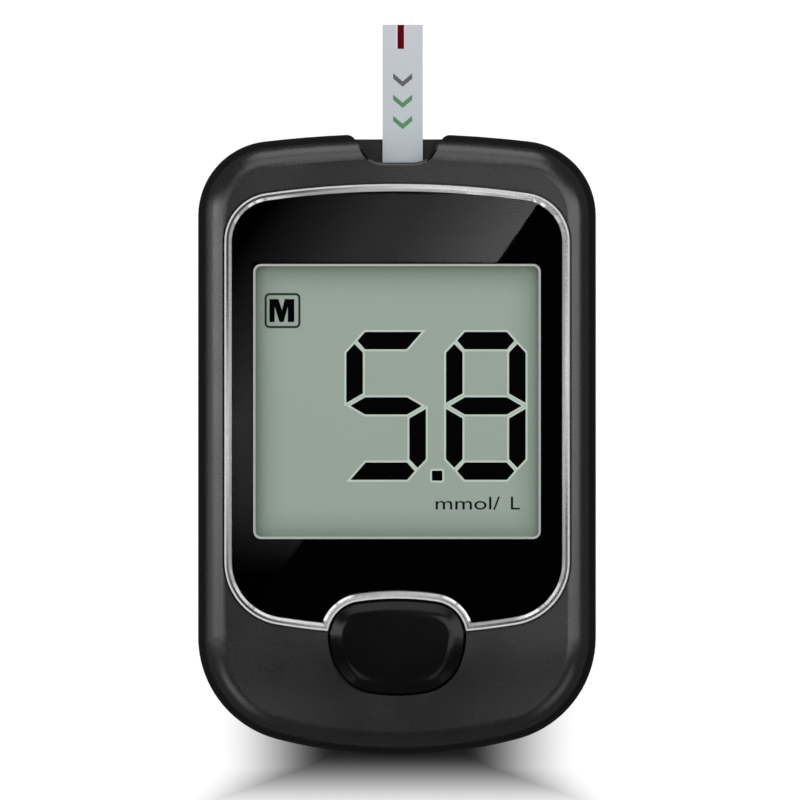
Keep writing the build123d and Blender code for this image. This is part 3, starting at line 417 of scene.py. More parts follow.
@dataclass(frozen=True)
class DisplayFilm(Finish):
    """Grey-green reflective film with painted shade: darker towards the edges of the window, where
    the recess round it falls into shade.
    """

    middle: Colour
    edge: Colour
    centre: Point
    size: Point
    shade_fade: float
    weave: float = 0.16
    thread: Colour = (0.5, 0.55, 0.5)
    thread_share: float = 0.08
    roughness: float = 0.55

    def fill(self, sheet: NodeSheet) -> None:
        """Makes the film.

        Args:
            sheet: Sheet of the material.
        """
        x, y, _ = sheet.axes(sheet.place())
        # painted shade: share falls from 1 in the middle to 0 at the window's edges, over
        # shade_fade millimetres
        share: Any = 1.0
        for axis, middle, width in zip((x, y), self.centre, self.size):
            off = sheet.math("ABSOLUTE", sheet.math("SUBTRACT", axis, middle * MM))
            start, end = (width / 2 - self.shade_fade) * MM, width / 2 * MM
            share = sheet.math("MULTIPLY", sheet.spread(off, start, end, 1.0, 0.0, True), share)
        weave = sheet.grain(self.weave)
        threads = sheet.spread(weave, *NOISE_CORE, 0.0, self.thread_share)
        # painted shade: the edge colour is the film as the recess round it would shade it
        base = sheet.blend(share, self.edge, self.middle)
        sheet.surface({
            "Base Color": sheet.blend(threads, base, self.thread),
            "Roughness": sheet.waver(weave, self.roughness),
            "Specular IOR Level": 0.0,
        })


@dataclass(frozen=True)
class StripCard(Finish):
    """Printed card of the test strip, with painted shade that makes it a little darker towards the
    port, where the notch shades it.
    """

    outer: Colour
    inner: Colour
    y_outer: float
    y_inner: float
    fibre: float = 0.3
    fibre_share: float = 0.1
    depth: float = 0.002
    roughness: float = 0.5
    level: float = 0.3

    def fill(self, sheet: NodeSheet) -> None:
        """Makes the card.

        Args:
            sheet: Sheet of the material.
        """
        _, y, _ = sheet.axes(sheet.place())
        # painted shade: the card goes from the outer colour at its free end to the darker inner
        # colour at the notch
        along = sheet.spread(y, self.y_inner * MM, self.y_outer * MM, 0.0, 1.0)
        fibre = sheet.grain(self.fibre, FULL_DETAIL)
        tufts = sheet.spread(fibre, *NOISE_CORE, 0.0, self.fibre_share)
        base = sheet.blend(along, self.inner, self.outer)
        sheet.surface({
            "Base Color": sheet.blend(tufts, base, self.outer),
            "Roughness": sheet.waver(fibre, self.roughness),
            "Specular IOR Level": self.level,
            "Normal": sheet.relief(fibre, self.depth),
        })


@dataclass(frozen=True)
class SolderMask(Finish):
    """Green lacquer over copper tracks that run in straight steps."""

    lacquer: Colour = (0.012, 0.075, 0.03)
    track: Colour = (0.03, 0.16, 0.07)
    pitch: float = 2.6
    track_width: float = 0.06
    track_edge: float = 0.1
    step: float = 0.35
    depth: float = 0.02
    cloud: float = 3.0
    gloss: Point = (0.22, 0.34)

    def fill(self, sheet: NodeSheet) -> None:
        """Makes the board.

        Args:
            sheet: Sheet of the material.
        """
        bricks = sheet.node("TexBrick", {
            "Vector": sheet.place(),
            "Scale": 1.0 / (self.pitch * MM),
            "Mortar Size": self.track_width,
            "Mortar Smooth": self.track_edge,
        }, offset=self.step)
        tracks = bricks.outputs["Fac"]
        sheet.surface({
            "Base Color": sheet.blend(tracks, self.lacquer, self.track),
            "Roughness": sheet.mottle(sheet.grain(self.cloud), *self.gloss),
            "Normal": sheet.relief(tracks, self.depth),
        })


@dataclass(frozen=True)
class CellJacket(Finish):
    """Plain shrink jacket of a cell: slate body, narrow pale ring at the plus end, steel ends."""

    positive_y: float
    negative_y: float
    jacket: Colour = (0.1, 0.11, 0.13)
    band: Colour = (0.42, 0.44, 0.45)
    steel: Colour = (0.55, 0.55, 0.53)
    band_start: float = 0.8
    band_end: float = 0.86
    plus_end: float = 1.4
    minus_end: float = 0.49
    scuff: float = 1.2
    gloss: Point = (0.2, 0.34)

    def fill(self, sheet: NodeSheet) -> None:
        """Makes the jacket.

        Args:
            sheet: Sheet of the material.
        """
        _, y, _ = sheet.axes(sheet.place())
        along = sheet.spread(y, self.negative_y * MM, self.positive_y * MM, 0.0, 1.0)
        length = abs(self.positive_y - self.negative_y)
        in_band = sheet.math("MULTIPLY", sheet.math("GREATER_THAN", along, self.band_start),
                             sheet.math("LESS_THAN", along, self.band_end))
        ends = sheet.math("ADD", sheet.math("LESS_THAN", along, self.minus_end / length),
                          sheet.math("GREATER_THAN", along, 1.0 - self.plus_end / length))
        coat = sheet.blend(in_band, self.jacket, self.band)
        sheet.surface({
            "Base Color": sheet.blend(ends, coat, self.steel),
            "Metallic": ends,
            "Roughness": sheet.mottle(sheet.grain(self.scuff, FULL_DETAIL), *self.gloss),
        })


@dataclass(frozen=True)
class Layered(Finish):
    """Strips of two materials pressed together, as in a rubber connector."""

    first: Colour
    second: Colour
    pitch: float = 0.5
    cloud: float = 0.4
    gloss: Point = (0.63, 0.7)

    def fill(self, sheet: NodeSheet) -> None:
        """Makes the layers.

        Args:
            sheet: Sheet of the material.
        """
        x, _, _ = sheet.axes(sheet.place())
        turn = sheet.math("FRACT", sheet.math("DIVIDE", x, self.pitch * MM))
        layer = sheet.math("GREATER_THAN", turn, HALF_STEP)
        sheet.surface({
            "Base Color": sheet.blend(layer, self.first, self.second),
            "Roughness": sheet.mottle(sheet.grain(self.cloud), *self.gloss),
        })


# --- mesh helpers --------------------------------------------------------------------------


@dataclass
class PlateMesh:
    """Collects thin upright plates and makes one mesh object of them."""

    name: str
    vertices: list[Spot] = field(default_factory=list)
    faces: list[tuple[int, ...]] = field(default_factory=list)

    def _loop(self, outline: list[Point], z: float) -> list[int]:
        """Adds one loop of vertices.

        Args:
            outline: Corners of the loop.
            z: Height of the loop.

        Returns:
            The numbers of its vertices.
        """
        start = len(self.vertices)
        self.vertices.extend((x, y, z) for x, y in outline)
        return list(range(start, start + len(outline)))

    def plate(self, outline: list[Point], low: float, high: float) -> None:
        """Adds a solid plate.

        Args:
            outline: Corners in millimetres, anticlockwise from above.
            low: Underside height.
            high: Top height.
        """
        under, over = self._loop(outline, low), self._loop(outline, high)
        self.faces.append(tuple(over))
        self.faces.append(tuple(reversed(under)))
        count = len(outline)
        for i in range(count):
            j = (i + 1) % count
            self.faces.append((under[i], under[j], over[j], over[i]))

    def band(self, outer: list[Point], inner: list[Point], low: float, high: float) -> None:
        """Adds a frame between two loops with as many corners each.

        Args:
            outer: Outer loop, anticlockwise from above.
            inner: Inner loop, with its corners beside those of the outer one.
            low: Underside height.
            high: Top height.
        """
        loops = [self._loop(line, z) for z in (low, high) for line in (outer, inner)]
        outer_low, inner_low, outer_high, inner_high = loops
        count = len(outer)
        for i in range(count):
            j = (i + 1) % count
            self.faces.append((outer_low[i], outer_low[j], outer_high[j], outer_high[i]))
            self.faces.append((inner_low[j], inner_low[i], inner_high[i], inner_high[j]))
            self.faces.append((outer_high[i], outer_high[j], inner_high[j], inner_high[i]))
            self.faces.append((outer_low[j], outer_low[i], inner_low[i], inner_low[j]))

    def piece(self, body: Body, slot: str, finish: Finish) -> bpy.types.Object:
        """Makes the object, lets it ride on its body and dresses it.

        Args:
            body: Body that carries it.
            slot: Not used.
            finish: Finish of its surface.

        Returns:
            The new object.
        """
        mesh = bpy.data.meshes.new(self.name)
        points = [tuple(value * MM for value in vertex) for vertex in self.vertices]
        mesh.from_pydata(points, [], self.faces)
        mesh.update()
        made = bpy.data.objects.new(self.name, mesh)
        return settle(made, body, finish)


def settle(made: bpy.types.Object, body: Body, finish: Finish) -> bpy.types.Object:
    """Puts a new piece in the scene, on its body, in its finish.

    Args:
        made: The piece, already in place.
        body: Body that carries it.
        finish: Finish of its surface.

    Returns:
        The piece.
    """
    bpy.context.scene.collection.objects.link(made)
    made.data.materials.clear()
    made.data.materials.append(finish.material())
    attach(made, body.value)
    LOG.info("made %s on %s", made.name, body.value)
    return made


def dress(finish: Finish, *nodes: str) -> None:
    """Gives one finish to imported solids.

    Args:
        finish: Finish of their surface.
        *nodes: Names of the solids.
    """
    material = finish.material()
    for name in nodes:
        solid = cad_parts[name]
        for place in solid.material_slots:
            place.material = material
        LOG.info("dressed %s in %s", name, finish.name)


def rounded(centre: Point, size: Point, radius: float, steps: int = CORNER_STEPS) -> list[Point]:
    """Corners of a rectangle with round corners, anticlockwise.

    Args:
        centre: Middle of the rectangle.
        size: Width and height.
        radius: Radius of its corners.
        steps: Parts of each round corner.

    Returns:
        The corners.
    """
    points = []
    for turn, (side, end) in enumerate(((1, 1), (-1, 1), (-1, -1), (1, -1))):
        x = centre[0] + side * (size[0] / 2 - radius)
        y = centre[1] + end * (size[1] / 2 - radius)
        for step in range(steps + 1):
            angle = QUARTER_TURN * (turn + step / steps)
            points.append((x + radius * math.cos(angle), y + radius * math.sin(angle)))
    return points


def grown(outline: list[Point], by: float) -> list[Point]:
    """Outline moved outwards by the same width on every side.

    Args:
        outline: Corners, anticlockwise.
        by: Width of the move.

    Returns:
        The moved corners.
    """
    moved, count = [], len(outline)
    for i, (x, y) in enumerate(outline):
        before, after = outline[i - 1], outline[(i + 1) % count]
        normals = []
        for (ax, ay), (cx, cy) in ((before, (x, y)), ((x, y), after)):
            length = math.hypot(cx - ax, cy - ay)
            normals.append(((cy - ay) / length, (ax - cx) / length))
        (px, py), (qx, qy) = normals
        share = by / (1.0 + px * qx + py * qy)
        moved.append((x + (px + qx) * share, y + (py + qy) * share))
    return moved


def shifted(outline: list[Point], x: float, y: float) -> list[Point]:
    """Outline moved sideways."""
    return [(px + x, py + y) for px, py in outline]


@dataclass(frozen=True)
class FrameLine:
    """Printed line round a rectangle with round corners, in millimetres."""

    name: str
    centre: Point
    size: Point
    corner: float
    width: float

    def lay(self, low: float, high: float, slot: str, finish: Finish) -> None:
        """Prints the line on a face of the fixed body.

        Args:
            low: Underside height.
            high: Top height.
            slot: Material slot of the record.
            finish: Finish of the line.
        """
        inner = (self.size[0] - 2 * self.width, self.size[1] - 2 * self.width)
        line = PlateMesh(self.name)
        line.band(rounded(self.centre, self.size, self.corner),
                  rounded(self.centre, inner, self.corner - self.width), low, high)
        line.piece(Body.CASE, slot, finish)


# --- case and ring -------------------------------------------------------------------------


@dataclass
class Housing:
    """Two case halves, cell cover and their screws."""

    front: Finish = Moulded("satin_case", (0.006, 0.006, 0.0063), roughness=0.26, level=0.55,
                            depth=0.0007)
    rear: Finish = Moulded("grained_rear", (0.009, 0.009, 0.0095), roughness=0.5, grain=0.35,
                           depth=0.012)
    screw: Finish = Metal("zinc_screw", (0.52, 0.5, 0.46), roughness=0.32, uneven=0.15)

    def build(self) -> None:
        """Dresses the case."""
        dress(self.front, "front_case")
        dress(self.rear, "rear_case", "battery_cover")
        dress(self.screw, "case_screws", "board_screws")


@dataclass
class Bezel:
    """Bright ring round the window."""

    plating: Finish = Metal("satin_chrome", (0.88, 0.88, 0.89), roughness=0.1, line=0.3,
                            depth=0.0, uneven=0.03)

    def build(self) -> None:
        """Dresses the ring."""
        dress(self.plating, "bezel_trim")


# --- window and display --------------------------------------------------------------------


@dataclass
class LensStack:
    """Clear lens with the printed film and the adhesive frame under it."""

    line: FrameLine = FrameLine("window_keyline", WINDOW_CENTRE, WINDOW_SIZE, corner=1.13,
                                width=0.32)
    line_z: Point = (19.36, 19.43)
    lens: Finish = ClearSheet("clear_lens")
    mask: Finish = Ink("window_mask", (0.0003, 0.0003, 0.0003), roughness=0.5, level=0.0)
    gasket: Finish = Moulded("adhesive_frame", (0.006, 0.006, 0.006), roughness=0.7)
    keyline: Finish = Ink("window_line", (0.42, 0.45, 0.42), roughness=0.5, level=0.0)

    def build(self) -> None:
        """Dresses the lens and prints the thin line round the window."""
        dress(self.lens, "display_lens")
        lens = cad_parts["display_lens"]
        lens.visible_shadow = lens.visible_diffuse = False
        dress(self.mask, "lens_mask")
        dress(self.gasket, "lens_gasket")
        self.line.lay(*self.line_z, "frame_white", self.keyline)


class Segment(Enum):
    """Bars of a seven-bar digit in their usual letters."""

    A = "top"
    B = "upper right"
    C = "lower right"
    D = "bottom"
    E = "lower left"
    F = "upper left"
    G = "middle"


@dataclass(frozen=True)
class DigitShape:
    """Sizes of a seven-bar digit, in millimetres."""

    width: float = 11.27
    height: float = 20.93
    bar_h: float = 2.46
    bar_v: float = 2.35
    tip_in: float = 1.58
    tip_down: float = 1.70
    shoulder_in: float = 2.66
    shoulder_down: float = 2.93
    inner_end: float = 8.70
    outer_end: float = 10.05
    tip_side: float = 1.17
    middle_tip: float = 0.57
    middle_half: float = 1.22
    slant_near: float = 0.58
    slant_far: float = 2.74

    def _upright(self) -> list[Point]:
        """Upper left bar, from the digit's top left corner, y downwards."""
        return [(self.tip_side, self.tip_down), (self.bar_v, self.shoulder_down),
                (self.bar_v, self.inner_end), (0.0, self.outer_end), (0.0, self.shoulder_down)]

    def _flat(self, free_end: bool) -> list[Point]:
        """Top bar from the digit's top left corner, y downwards.

        Args:
            free_end: Whether the bar ends in a slant on the right, where no bar joins it.

        Returns:
            The corners.
        """
        near, far = self.tip_in, self.shoulder_in
        points = [(near, self.bar_h / 2), (far, 0.0)]
        if free_end:
            points += [(self.width - self.slant_near, 0.0),
                       (self.width - self.slant_far, self.bar_h)]
        else:
            points += [(self.width - far, 0.0), (self.width - near, self.bar_h / 2),
                       (self.width - far, self.bar_h)]
        return points + [(far, self.bar_h)]

    def _middle(self) -> list[Point]:
        """Middle bar, from the digit's top left corner, y downwards.

        Returns:
            The corners.
        """
        y, half = self.height / 2, self.middle_half
        left, right = self.middle_tip, self.width - self.middle_tip
        return [(left, y), (self.shoulder_in, y - half), (self.width - self.shoulder_in, y - half),
                (right, y), (self.width - self.shoulder_in, y + half), (self.shoulder_in, y + half)]

    def outline(self, segment: Segment, lit: set[Segment]) -> list[Point]:
        """Corners of one bar, anticlockwise, from the digit's top left corner with y upwards.

        Args:
            segment: Bar to draw.
            lit: All bars that show in the digit.

        Returns:
            The corners in millimetres.
        """
        turn_x = segment in (Segment.B, Segment.C, Segment.D)
        turn_y = segment in (Segment.C, Segment.D, Segment.E)
        if segment is Segment.G:
            points = self._middle()
        elif segment is Segment.A:
            points = self._flat(Segment.B not in lit)
        elif segment is Segment.D:
            points = self._flat(Segment.E not in lit)
        else:
            points = self._upright()
        points = [(self.width - x if turn_x else x, y - self.height if turn_y else -y)
                  for x, y in points]
        area = sum(ax * by - bx * ay
                   for (ax, ay), (bx, by) in zip(points, points[1:] + points[:1]))
        return points if area > 0 else points[::-1]


class Digit(Enum):
    """Lit bars of the digits that show."""

    FIVE = (Segment.A, Segment.C, Segment.D, Segment.F, Segment.G)
    EIGHT = tuple(Segment)


@dataclass
class DisplayReadout:
    """Display glasses and the signs that show on them."""

    shape: DigitShape = DigitShape()
    digits: tuple[tuple[str, Digit, float], ...] = (
        ("digit_five", Digit.FIVE, -7.18), ("digit_eight", Digit.EIGHT, 6.93))
    digits_top: float = 15.89
    film_z: float = 18.05
    sign_rise: float = 0.03
    halo_rise: float = 0.012
    halo_step: float = 0.0004
    halo_width: float = 0.27
    dot_centre: Point = (5.68, -4.45)
    dot_size: Point = (1.48, 1.41)
    dot_corner: float = 0.1
    dot_steps: int = 2
    box: FrameLine = FrameLine("memory_box", (-16.20, 18.91), (5.08, 4.96), corner=0.7, width=0.31)
    letter_at: Point = (-18.04, 17.29)
    letter: tuple[Point, ...] = ((0, 0), (0.72, 0), (0.72, 2.2), (1.42, 0), (1.99, 0), (2.59, 2.16),
                                 (2.59, 0), (3.5, 0), (3.5, 3.25), (2.16, 3.25), (1.76, 1.67),
                                 (1.26, 3.25), (0, 3.25))
    unit_words: tuple[tuple[str, float, float], ...] = (("mmol/", 5.47, 14.57), ("L", 16.12, 17.39))
    unit_baseline: float = -9.23
    unit_cap: float = 1.81
    unit_depth: float = 0.5
    unit_steps: int = 6
    # painted shade: the film's edge colour and shade_fade darken it towards the window's edges
    film: Finish = DisplayFilm("display_film", middle=(0.308, 0.375, 0.326),
                               edge=(0.225, 0.285, 0.235), centre=WINDOW_CENTRE,
                               size=WINDOW_SIZE, shade_fade=5.0)
    ink: Finish = Ink("segment_ink", (0.0009, 0.001, 0.0009), roughness=0.5, level=0.0)
    halo: Finish = Ink("segment_halo", (0.52, 0.61, 0.53), roughness=0.6, level=0.0)
    word_ink: Finish = Ink("word_ink", (0.006, 0.011, 0.009), roughness=0.5, level=0.0)
    line_ink: Finish = Ink("line_ink", (0.02, 0.035, 0.028), roughness=0.5, level=0.0)
    glass: Finish = ClearSheet("display_glass", tint=(0.93, 0.97, 0.95), index=1.52)
    reflector: Finish = Metal("reflector_foil", (0.62, 0.66, 0.62), roughness=0.4)
    carrier: Finish = Moulded("white_carrier", (0.62, 0.62, 0.6), roughness=0.5)
    connector: Finish = Layered("layered_rubber", (0.02, 0.02, 0.02), (0.32, 0.32, 0.34))

    def _sign(self, name: str, outlines: list[list[Point]], ink: Finish) -> None:
        """Makes one sign of plates that lie on the film.

        Args:
            name: Name of the piece.
            outlines: Corners of each plate.
            ink: Finish of the plates.
        """
        sheet = PlateMesh(name)
        for outline in outlines:
            sheet.plate(outline, self.film_z, self.film_z + self.sign_rise)
        sheet.piece(Body.CASE, "mask_black", ink)

    def _halos(self, outlines: list[list[Point]]) -> None:
        """Makes the pale rims round the signs as lower plates that are a little larger.

        Args:
            outlines: Corners of the signs' plates.
        """
        rims = PlateMesh("sign_halos")
        for number, outline in enumerate(outlines):
            top = self.film_z + self.halo_rise + number * self.halo_step
            rims.plate(grown(outline, self.halo_width), self.film_z, top)
        rims.piece(Body.CASE, "lcd_film", self.halo)

    def _words(self) -> None:
        """Sets the unit in plain letters and fits each word to its width."""
        for number, (word, left, right) in enumerate(self.unit_words):
            curve = bpy.data.curves.new(f"unit_{number}", "FONT")
            curve.body = word
            curve.extrude = self.unit_depth
            curve.resolution_u = self.unit_steps
            lettering = bpy.data.objects.new(curve.name, curve)
            bpy.context.scene.collection.objects.link(lettering)
            bpy.context.view_layer.update()
            depsgraph = bpy.context.evaluated_depsgraph_get()
            mesh = bpy.data.meshes.new_from_object(lettering.evaluated_get(depsgraph))
            bpy.data.objects.remove(lettering)
            xs = [v.co.x for v in mesh.vertices]
            top = max(v.co.y for v in mesh.vertices)
            stretch = (right - left) / (max(xs) - min(xs))
            for v in mesh.vertices:
                rise = self.sign_rise if v.co.z > 0 else 0.0
                v.co = Vector((left + (v.co.x - min(xs)) * stretch,
                               self.unit_baseline + v.co.y / top * self.unit_cap,
                               self.film_z + rise)) * MM
            made = bpy.data.objects.new(f"unit_word_{number + 1}", mesh)
            settle(made, Body.CASE, self.word_ink)

    def build(self) -> None:
        """Dresses the display and lays the signs on its film."""
        dress(self.film, "lcd_polarizer")
        dress(self.glass, "lcd_front_glass", "lcd_rear_glass")
        dress(self.reflector, "lcd_reflector")
        dress(self.carrier, "lcd_frame")
        dress(self.connector, "zebra_connectors")
        rims = []
        for name, digit, left in self.digits:
            lit = set(digit.value)
            bars = [shifted(self.shape.outline(bar, lit), left, self.digits_top)
                    for bar in digit.value]
            self._sign(name, bars, self.ink)
            rims += bars
        dot = rounded(self.dot_centre, self.dot_size, self.dot_corner, self.dot_steps)
        self._sign("decimal_point", [dot], self.ink)
        self._halos(rims + [dot])
        self.box.lay(self.film_z, self.film_z + self.sign_rise, "mask_black", self.line_ink)
        self._sign("memory_letter", [shifted(list(self.letter), *self.letter_at)], self.ink)
        self._words()


# --- button, port and strip ----------------------------------------------------------------


@dataclass
class KeyButton:
    """Key top and the switch under it."""

    cap: Finish = Moulded("smooth_key", (0.003, 0.003, 0.0032), roughness=0.16, depth=0.0,
                          level=0.17)
    plunger: Finish = Moulded("switch_stem", (0.02, 0.02, 0.02), roughness=0.5)
    shell: Finish = Metal("switch_can", (0.6, 0.6, 0.58), roughness=0.35, lay=Lay.ALONG_X)

    def build(self) -> None:
        """Dresses the button."""
        dress(self.cap, "main_button_cap")
        dress(self.plunger, "main_switch_plunger")
        dress(self.shell, "main_switch_body")


@dataclass
class StripPort:
    """Shelf, connector block and contacts that take the strip."""

    shelf: Finish = Moulded("port_shelf", (0.003, 0.003, 0.003), roughness=0.45, level=0.3)
    contact: Finish = Metal("plated_contact", (0.78, 0.56, 0.26), roughness=0.25, lay=Lay.ALONG_Y)

    def build(self) -> None:
        """Dresses the port."""
        dress(self.shelf, "strip_port_insert", "strip_connector_housing")
        dress(self.contact, "strip_connector_contacts")


@dataclass
class PortRim:
    """Rounded lip along the edge of the notch, over the strip's way in."""

    centre: Point = (0.2, 44.6)
    half_width: float = 6.4
    low_y: float = 39.2
    high_y: float = 43.0
    taper_y: float = 41.8
    round_r: float = 0.5
    end_r: float = 0.05
    low_z: float = 17.15
    edge_z: float = 17.4
    sunk: float = 0.05
    steps: int = 6
    upright: float = 0.05
    key_digits: int = 2
    sharp_angle: float = 50.0

    def _edge(self) -> list[Vector]:
        """Upper edge of the notch in the case.

        Returns:
            Its points in millimetres, from the left end round to the right end.
        """
        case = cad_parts["front_case"].data
        tops: dict[Point, Vector] = {}
        for face in case.polygons:
            if abs(face.normal.z) > self.upright:
                continue
            for spot in (case.vertices[i].co / MM for i in face.vertices):
                inside = abs(spot.x - self.centre[0]) < self.half_width
                if inside and self.low_y < spot.y < self.high_y and spot.z > self.edge_z:
                    key = (round(spot.x, self.key_digits), round(spot.y, self.key_digits))
                    if key not in tops or spot.z > tops[key].z:
                        tops[key] = spot
        return sorted(tops.values(),
                      key=lambda p: math.atan2(p.x - self.centre[0], self.centre[1] - p.y))

    def _profile(self, spot: Vector, inwards: Vector) -> list[Vector]:
        """Section of the lip at one point of the edge.

        Args:
            spot: Point of the edge.
            inwards: Level direction into the notch.

        Returns:
            The corners of the section, from the edge over the round to the case again.
        """
        share = (self.high_y - spot.y) / (self.high_y - self.taper_y)
        radius = self.end_r + (self.round_r - self.end_r) * min(1.0, max(0.0, share))
        points = [spot - inwards * self.sunk]
        for step in range(self.steps + 1):
            angle = QUARTER_TURN * step / self.steps
            points.append(spot + inwards * radius * math.sin(angle)
                          - Vector((0, 0, radius * (1 - math.cos(angle)))))
        for off in (radius, -self.sunk):
            low = spot + inwards * off
            points.append(Vector((low.x, low.y, self.low_z)))
        return points

    def build(self) -> None:
        """Sweeps the section along the edge."""
        edge, sections = self._edge(), []
        for i, spot in enumerate(edge):
            run = edge[min(i + 1, len(edge) - 1)] - edge[max(i - 1, 0)]
            sections.append(self._profile(spot, Vector((-run.y, run.x, 0.0)).normalized()))
        rim, count = PlateMesh("port_rim"), len(sections[0])
        rim.vertices = [tuple(point) for section in sections for point in section]
        last = len(rim.vertices) - count
        for start in range(0, last, count):
            for j in range(count):
                a, b = start + j, start + (j + 1) % count
                rim.faces.append((a, a + count, b + count, b))
        rim.faces += [tuple(range(count)), tuple(reversed(range(last, last + count)))]
        made = rim.piece(Body.CASE, "case_black", Housing().front)
        made.data.shade_smooth()
        made.data.set_sharp_from_angle(angle=math.radians(self.sharp_angle))


@dataclass
class TestStrip:
    """Strip in the port, with the arrows printed on it and painted shade and painted light along
    the two sides of its mark.
    """

    left: float = -2.04
    right: float = 3.64
    film_z: float = 16.80
    print_rise: float = 0.012
    arrow_ys: tuple[float, ...] = (50.6, 47.6, 44.6)
    arrow_half: float = 1.35
    arrow_drop: float = 1.15
    arrow_bar: float = 0.75
    mark_x: Point = (0.07, 1.0)
    mark_y: Point = (55.97, 59.37)
    mark_edge: float = 0.2
    # inner is the outer colour darkened by painted shade from the notch
    card: Finish = StripCard("strip_card", outer=(0.505, 0.52, 0.56), inner=(0.425, 0.475, 0.505),
                             y_outer=59.4, y_inner=40.0)
    carbon: Finish = Ink("carbon_track", (0.03, 0.03, 0.032), roughness=0.6)
    spacer: Finish = Moulded("milky_spacer", (0.55, 0.56, 0.58), roughness=0.4, uneven=0.03)
    blood: Finish = Ink("fill_mark", (0.09, 0.003, 0.0075), roughness=0.35, uneven=0.12,
                        level=0.0)
    green: Finish = Ink("green_print", (0.05, 0.21, 0.07), roughness=0.45)
    grey: Finish = Ink("grey_print", (0.07, 0.075, 0.08), roughness=0.45)
    # painted shade and painted light: narrow rosy and pale strips along the two sides of the fill
    # mark
    painted_shade_side: Finish = Ink("rosy_painted_shade", (0.74, 0.61, 0.65), roughness=0.45)
    painted_light_side: Finish = Ink("pale_painted_light", (0.56, 0.57, 0.55), roughness=0.45)

    def _arrow(self, y: float) -> list[Point]:
        """Corners of one arrow head that points into the port.

        Args:
            y: Height of its tip.

        Returns:
            The corners, anticlockwise.
        """
        x, half = (self.left + self.right) / 2, self.arrow_half
        high, bar = y + self.arrow_drop, self.arrow_bar
        return [(x, y), (x + half, high), (x + half, high + bar), (x, y + bar),
                (x - half, high + bar), (x - half, high)]

    def _mark_side(self, left: float) -> list[Point]:
        """Corners of a narrow strip beside the fill mark, from its left edge; it carries painted
        shade on one side of the mark and painted light on the other.
        """
        (low, high), right = self.mark_y, left + self.mark_edge
        return [(left, low), (right, low), (right, high), (left, high)]

    def _print(self, name: str, outlines: list[list[Point]], slot: str, ink: Finish) -> None:
        """Lays plates on the top film: printed arrows, or the painted shade and painted light
        beside the mark.

        Args:
            name: Name of the piece.
            outlines: Corners of each plate.
            slot: Material slot of the record.
            ink: Finish of the print.
        """
        sheet = PlateMesh(name)
        for outline in outlines:
            sheet.plate(outline, self.film_z, self.film_z + self.print_rise)
        sheet.piece(Body.STRIP, slot, ink)

    def build(self) -> None:
        """Dresses the strip, prints its arrows and lays painted shade and painted light along the
        sides of the mark.
        """
        dress(self.card, "strip_base", "strip_top_film")
        dress(self.carbon, "strip_electrodes")
        dress(self.spacer, "strip_spacer")
        dress(self.blood, "strip_fill_mark")
        first, *rest = [self._arrow(y) for y in self.arrow_ys]
        self._print("strip_first_arrow", [first], "strip_carbon", self.grey)
        self._print("strip_next_arrows", rest, "strip_carbon", self.green)
        # painted shade on the mark's left side, painted light on its right side
        left, right = self.mark_x
        self._print("strip_mark_shade", [self._mark_side(left - self.mark_edge)], "strip_white",
                    self.painted_shade_side)
        self._print("strip_mark_light", [self._mark_side(right)], "strip_white", self.painted_light_side)


# --- parts inside and on the back ----------------------------------------------------------


@dataclass
class BatteryBay:
    """Two cells with their springs and plates."""

    left_cell: Finish = CellJacket("left_cell_jacket", positive_y=20.5, negative_y=-24.0)
    right_cell: Finish = CellJacket("right_cell_jacket", positive_y=-29.7, negative_y=14.8)
    spring: Finish = Metal("nickel_spring", (0.66, 0.64, 0.6), roughness=0.24)
    plate: Finish = Metal("nickel_plate", (0.64, 0.62, 0.58), roughness=0.3, lay=Lay.ALONG_X)

    def build(self) -> None:
        """Dresses the bay."""
        dress(self.left_cell, "battery_left")
        dress(self.right_cell, "battery_right")
        dress(self.spring, "battery_spring_left", "battery_spring_right")
        dress(self.plate, "battery_plates", "battery_bridge")


@dataclass
class Electronics:
    """Board with its parts."""

    board: Finish = SolderMask("solder_mask")
    chip: Finish = Moulded("chip_resin", (0.018, 0.018, 0.019), roughness=0.55, grain=0.12)
    can: Finish = Metal("crystal_case", (0.68, 0.68, 0.66), roughness=0.22, lay=Lay.ALONG_Y)
    buzzer: Finish = Moulded("buzzer_shell", (0.014, 0.014, 0.014), roughness=0.4)

    def build(self) -> None:
        """Dresses the board."""
        dress(self.board, "main_board")
        dress(self.chip, "mcu_chip", "board_chips")
        dress(self.can, "crystal_can")
        dress(self.buzzer, "piezo_buzzer")


@dataclass
class RearFace:
    """Blank label in its shallow seat on the back, with a printed border."""

    line: FrameLine = FrameLine("label_line", (0.0, 29.5), (29.6, 8.6), corner=1.0, width=0.25)
    line_z: Point = (-0.01, 0.01)
    label: Finish = Ink("matt_label", (0.33, 0.34, 0.35), roughness=0.55, dot=0.4, uneven=0.04)
    border: Finish = Ink("label_border", (0.09, 0.095, 0.1), roughness=0.5)

    def build(self) -> None:
        """Dresses the label and prints its border."""
        dress(self.label, "rear_label")
        self.line.lay(*self.line_z, "label_grey", self.border)


# --- studio --------------------------------------------------------------------------------


@dataclass(frozen=True)
class SoftBox:
    """Large soft lamp aimed at the object, placed in metres."""

    name: str
    place: Spot
    size: Point
    radiance: float
    target: Spot = (0.0, 0.0, 0.01)

    def hang(self) -> None:
        """Makes the lamp, which no camera sees itself."""
        lamp = bpy.data.lights.new(self.name, "AREA")
        lamp.shape = "RECTANGLE"
        lamp.size, lamp.size_y = self.size
        lamp.energy = self.radiance * math.pi * self.size[0] * self.size[1]
        made = bpy.data.objects.new(self.name, lamp)
        made.location = self.place
        aim = Vector(self.target) - Vector(self.place)
        made.rotation_euler = aim.to_track_quat("-Z", "Y").to_euler()
        made.visible_camera = False
        bpy.context.scene.collection.objects.link(made)


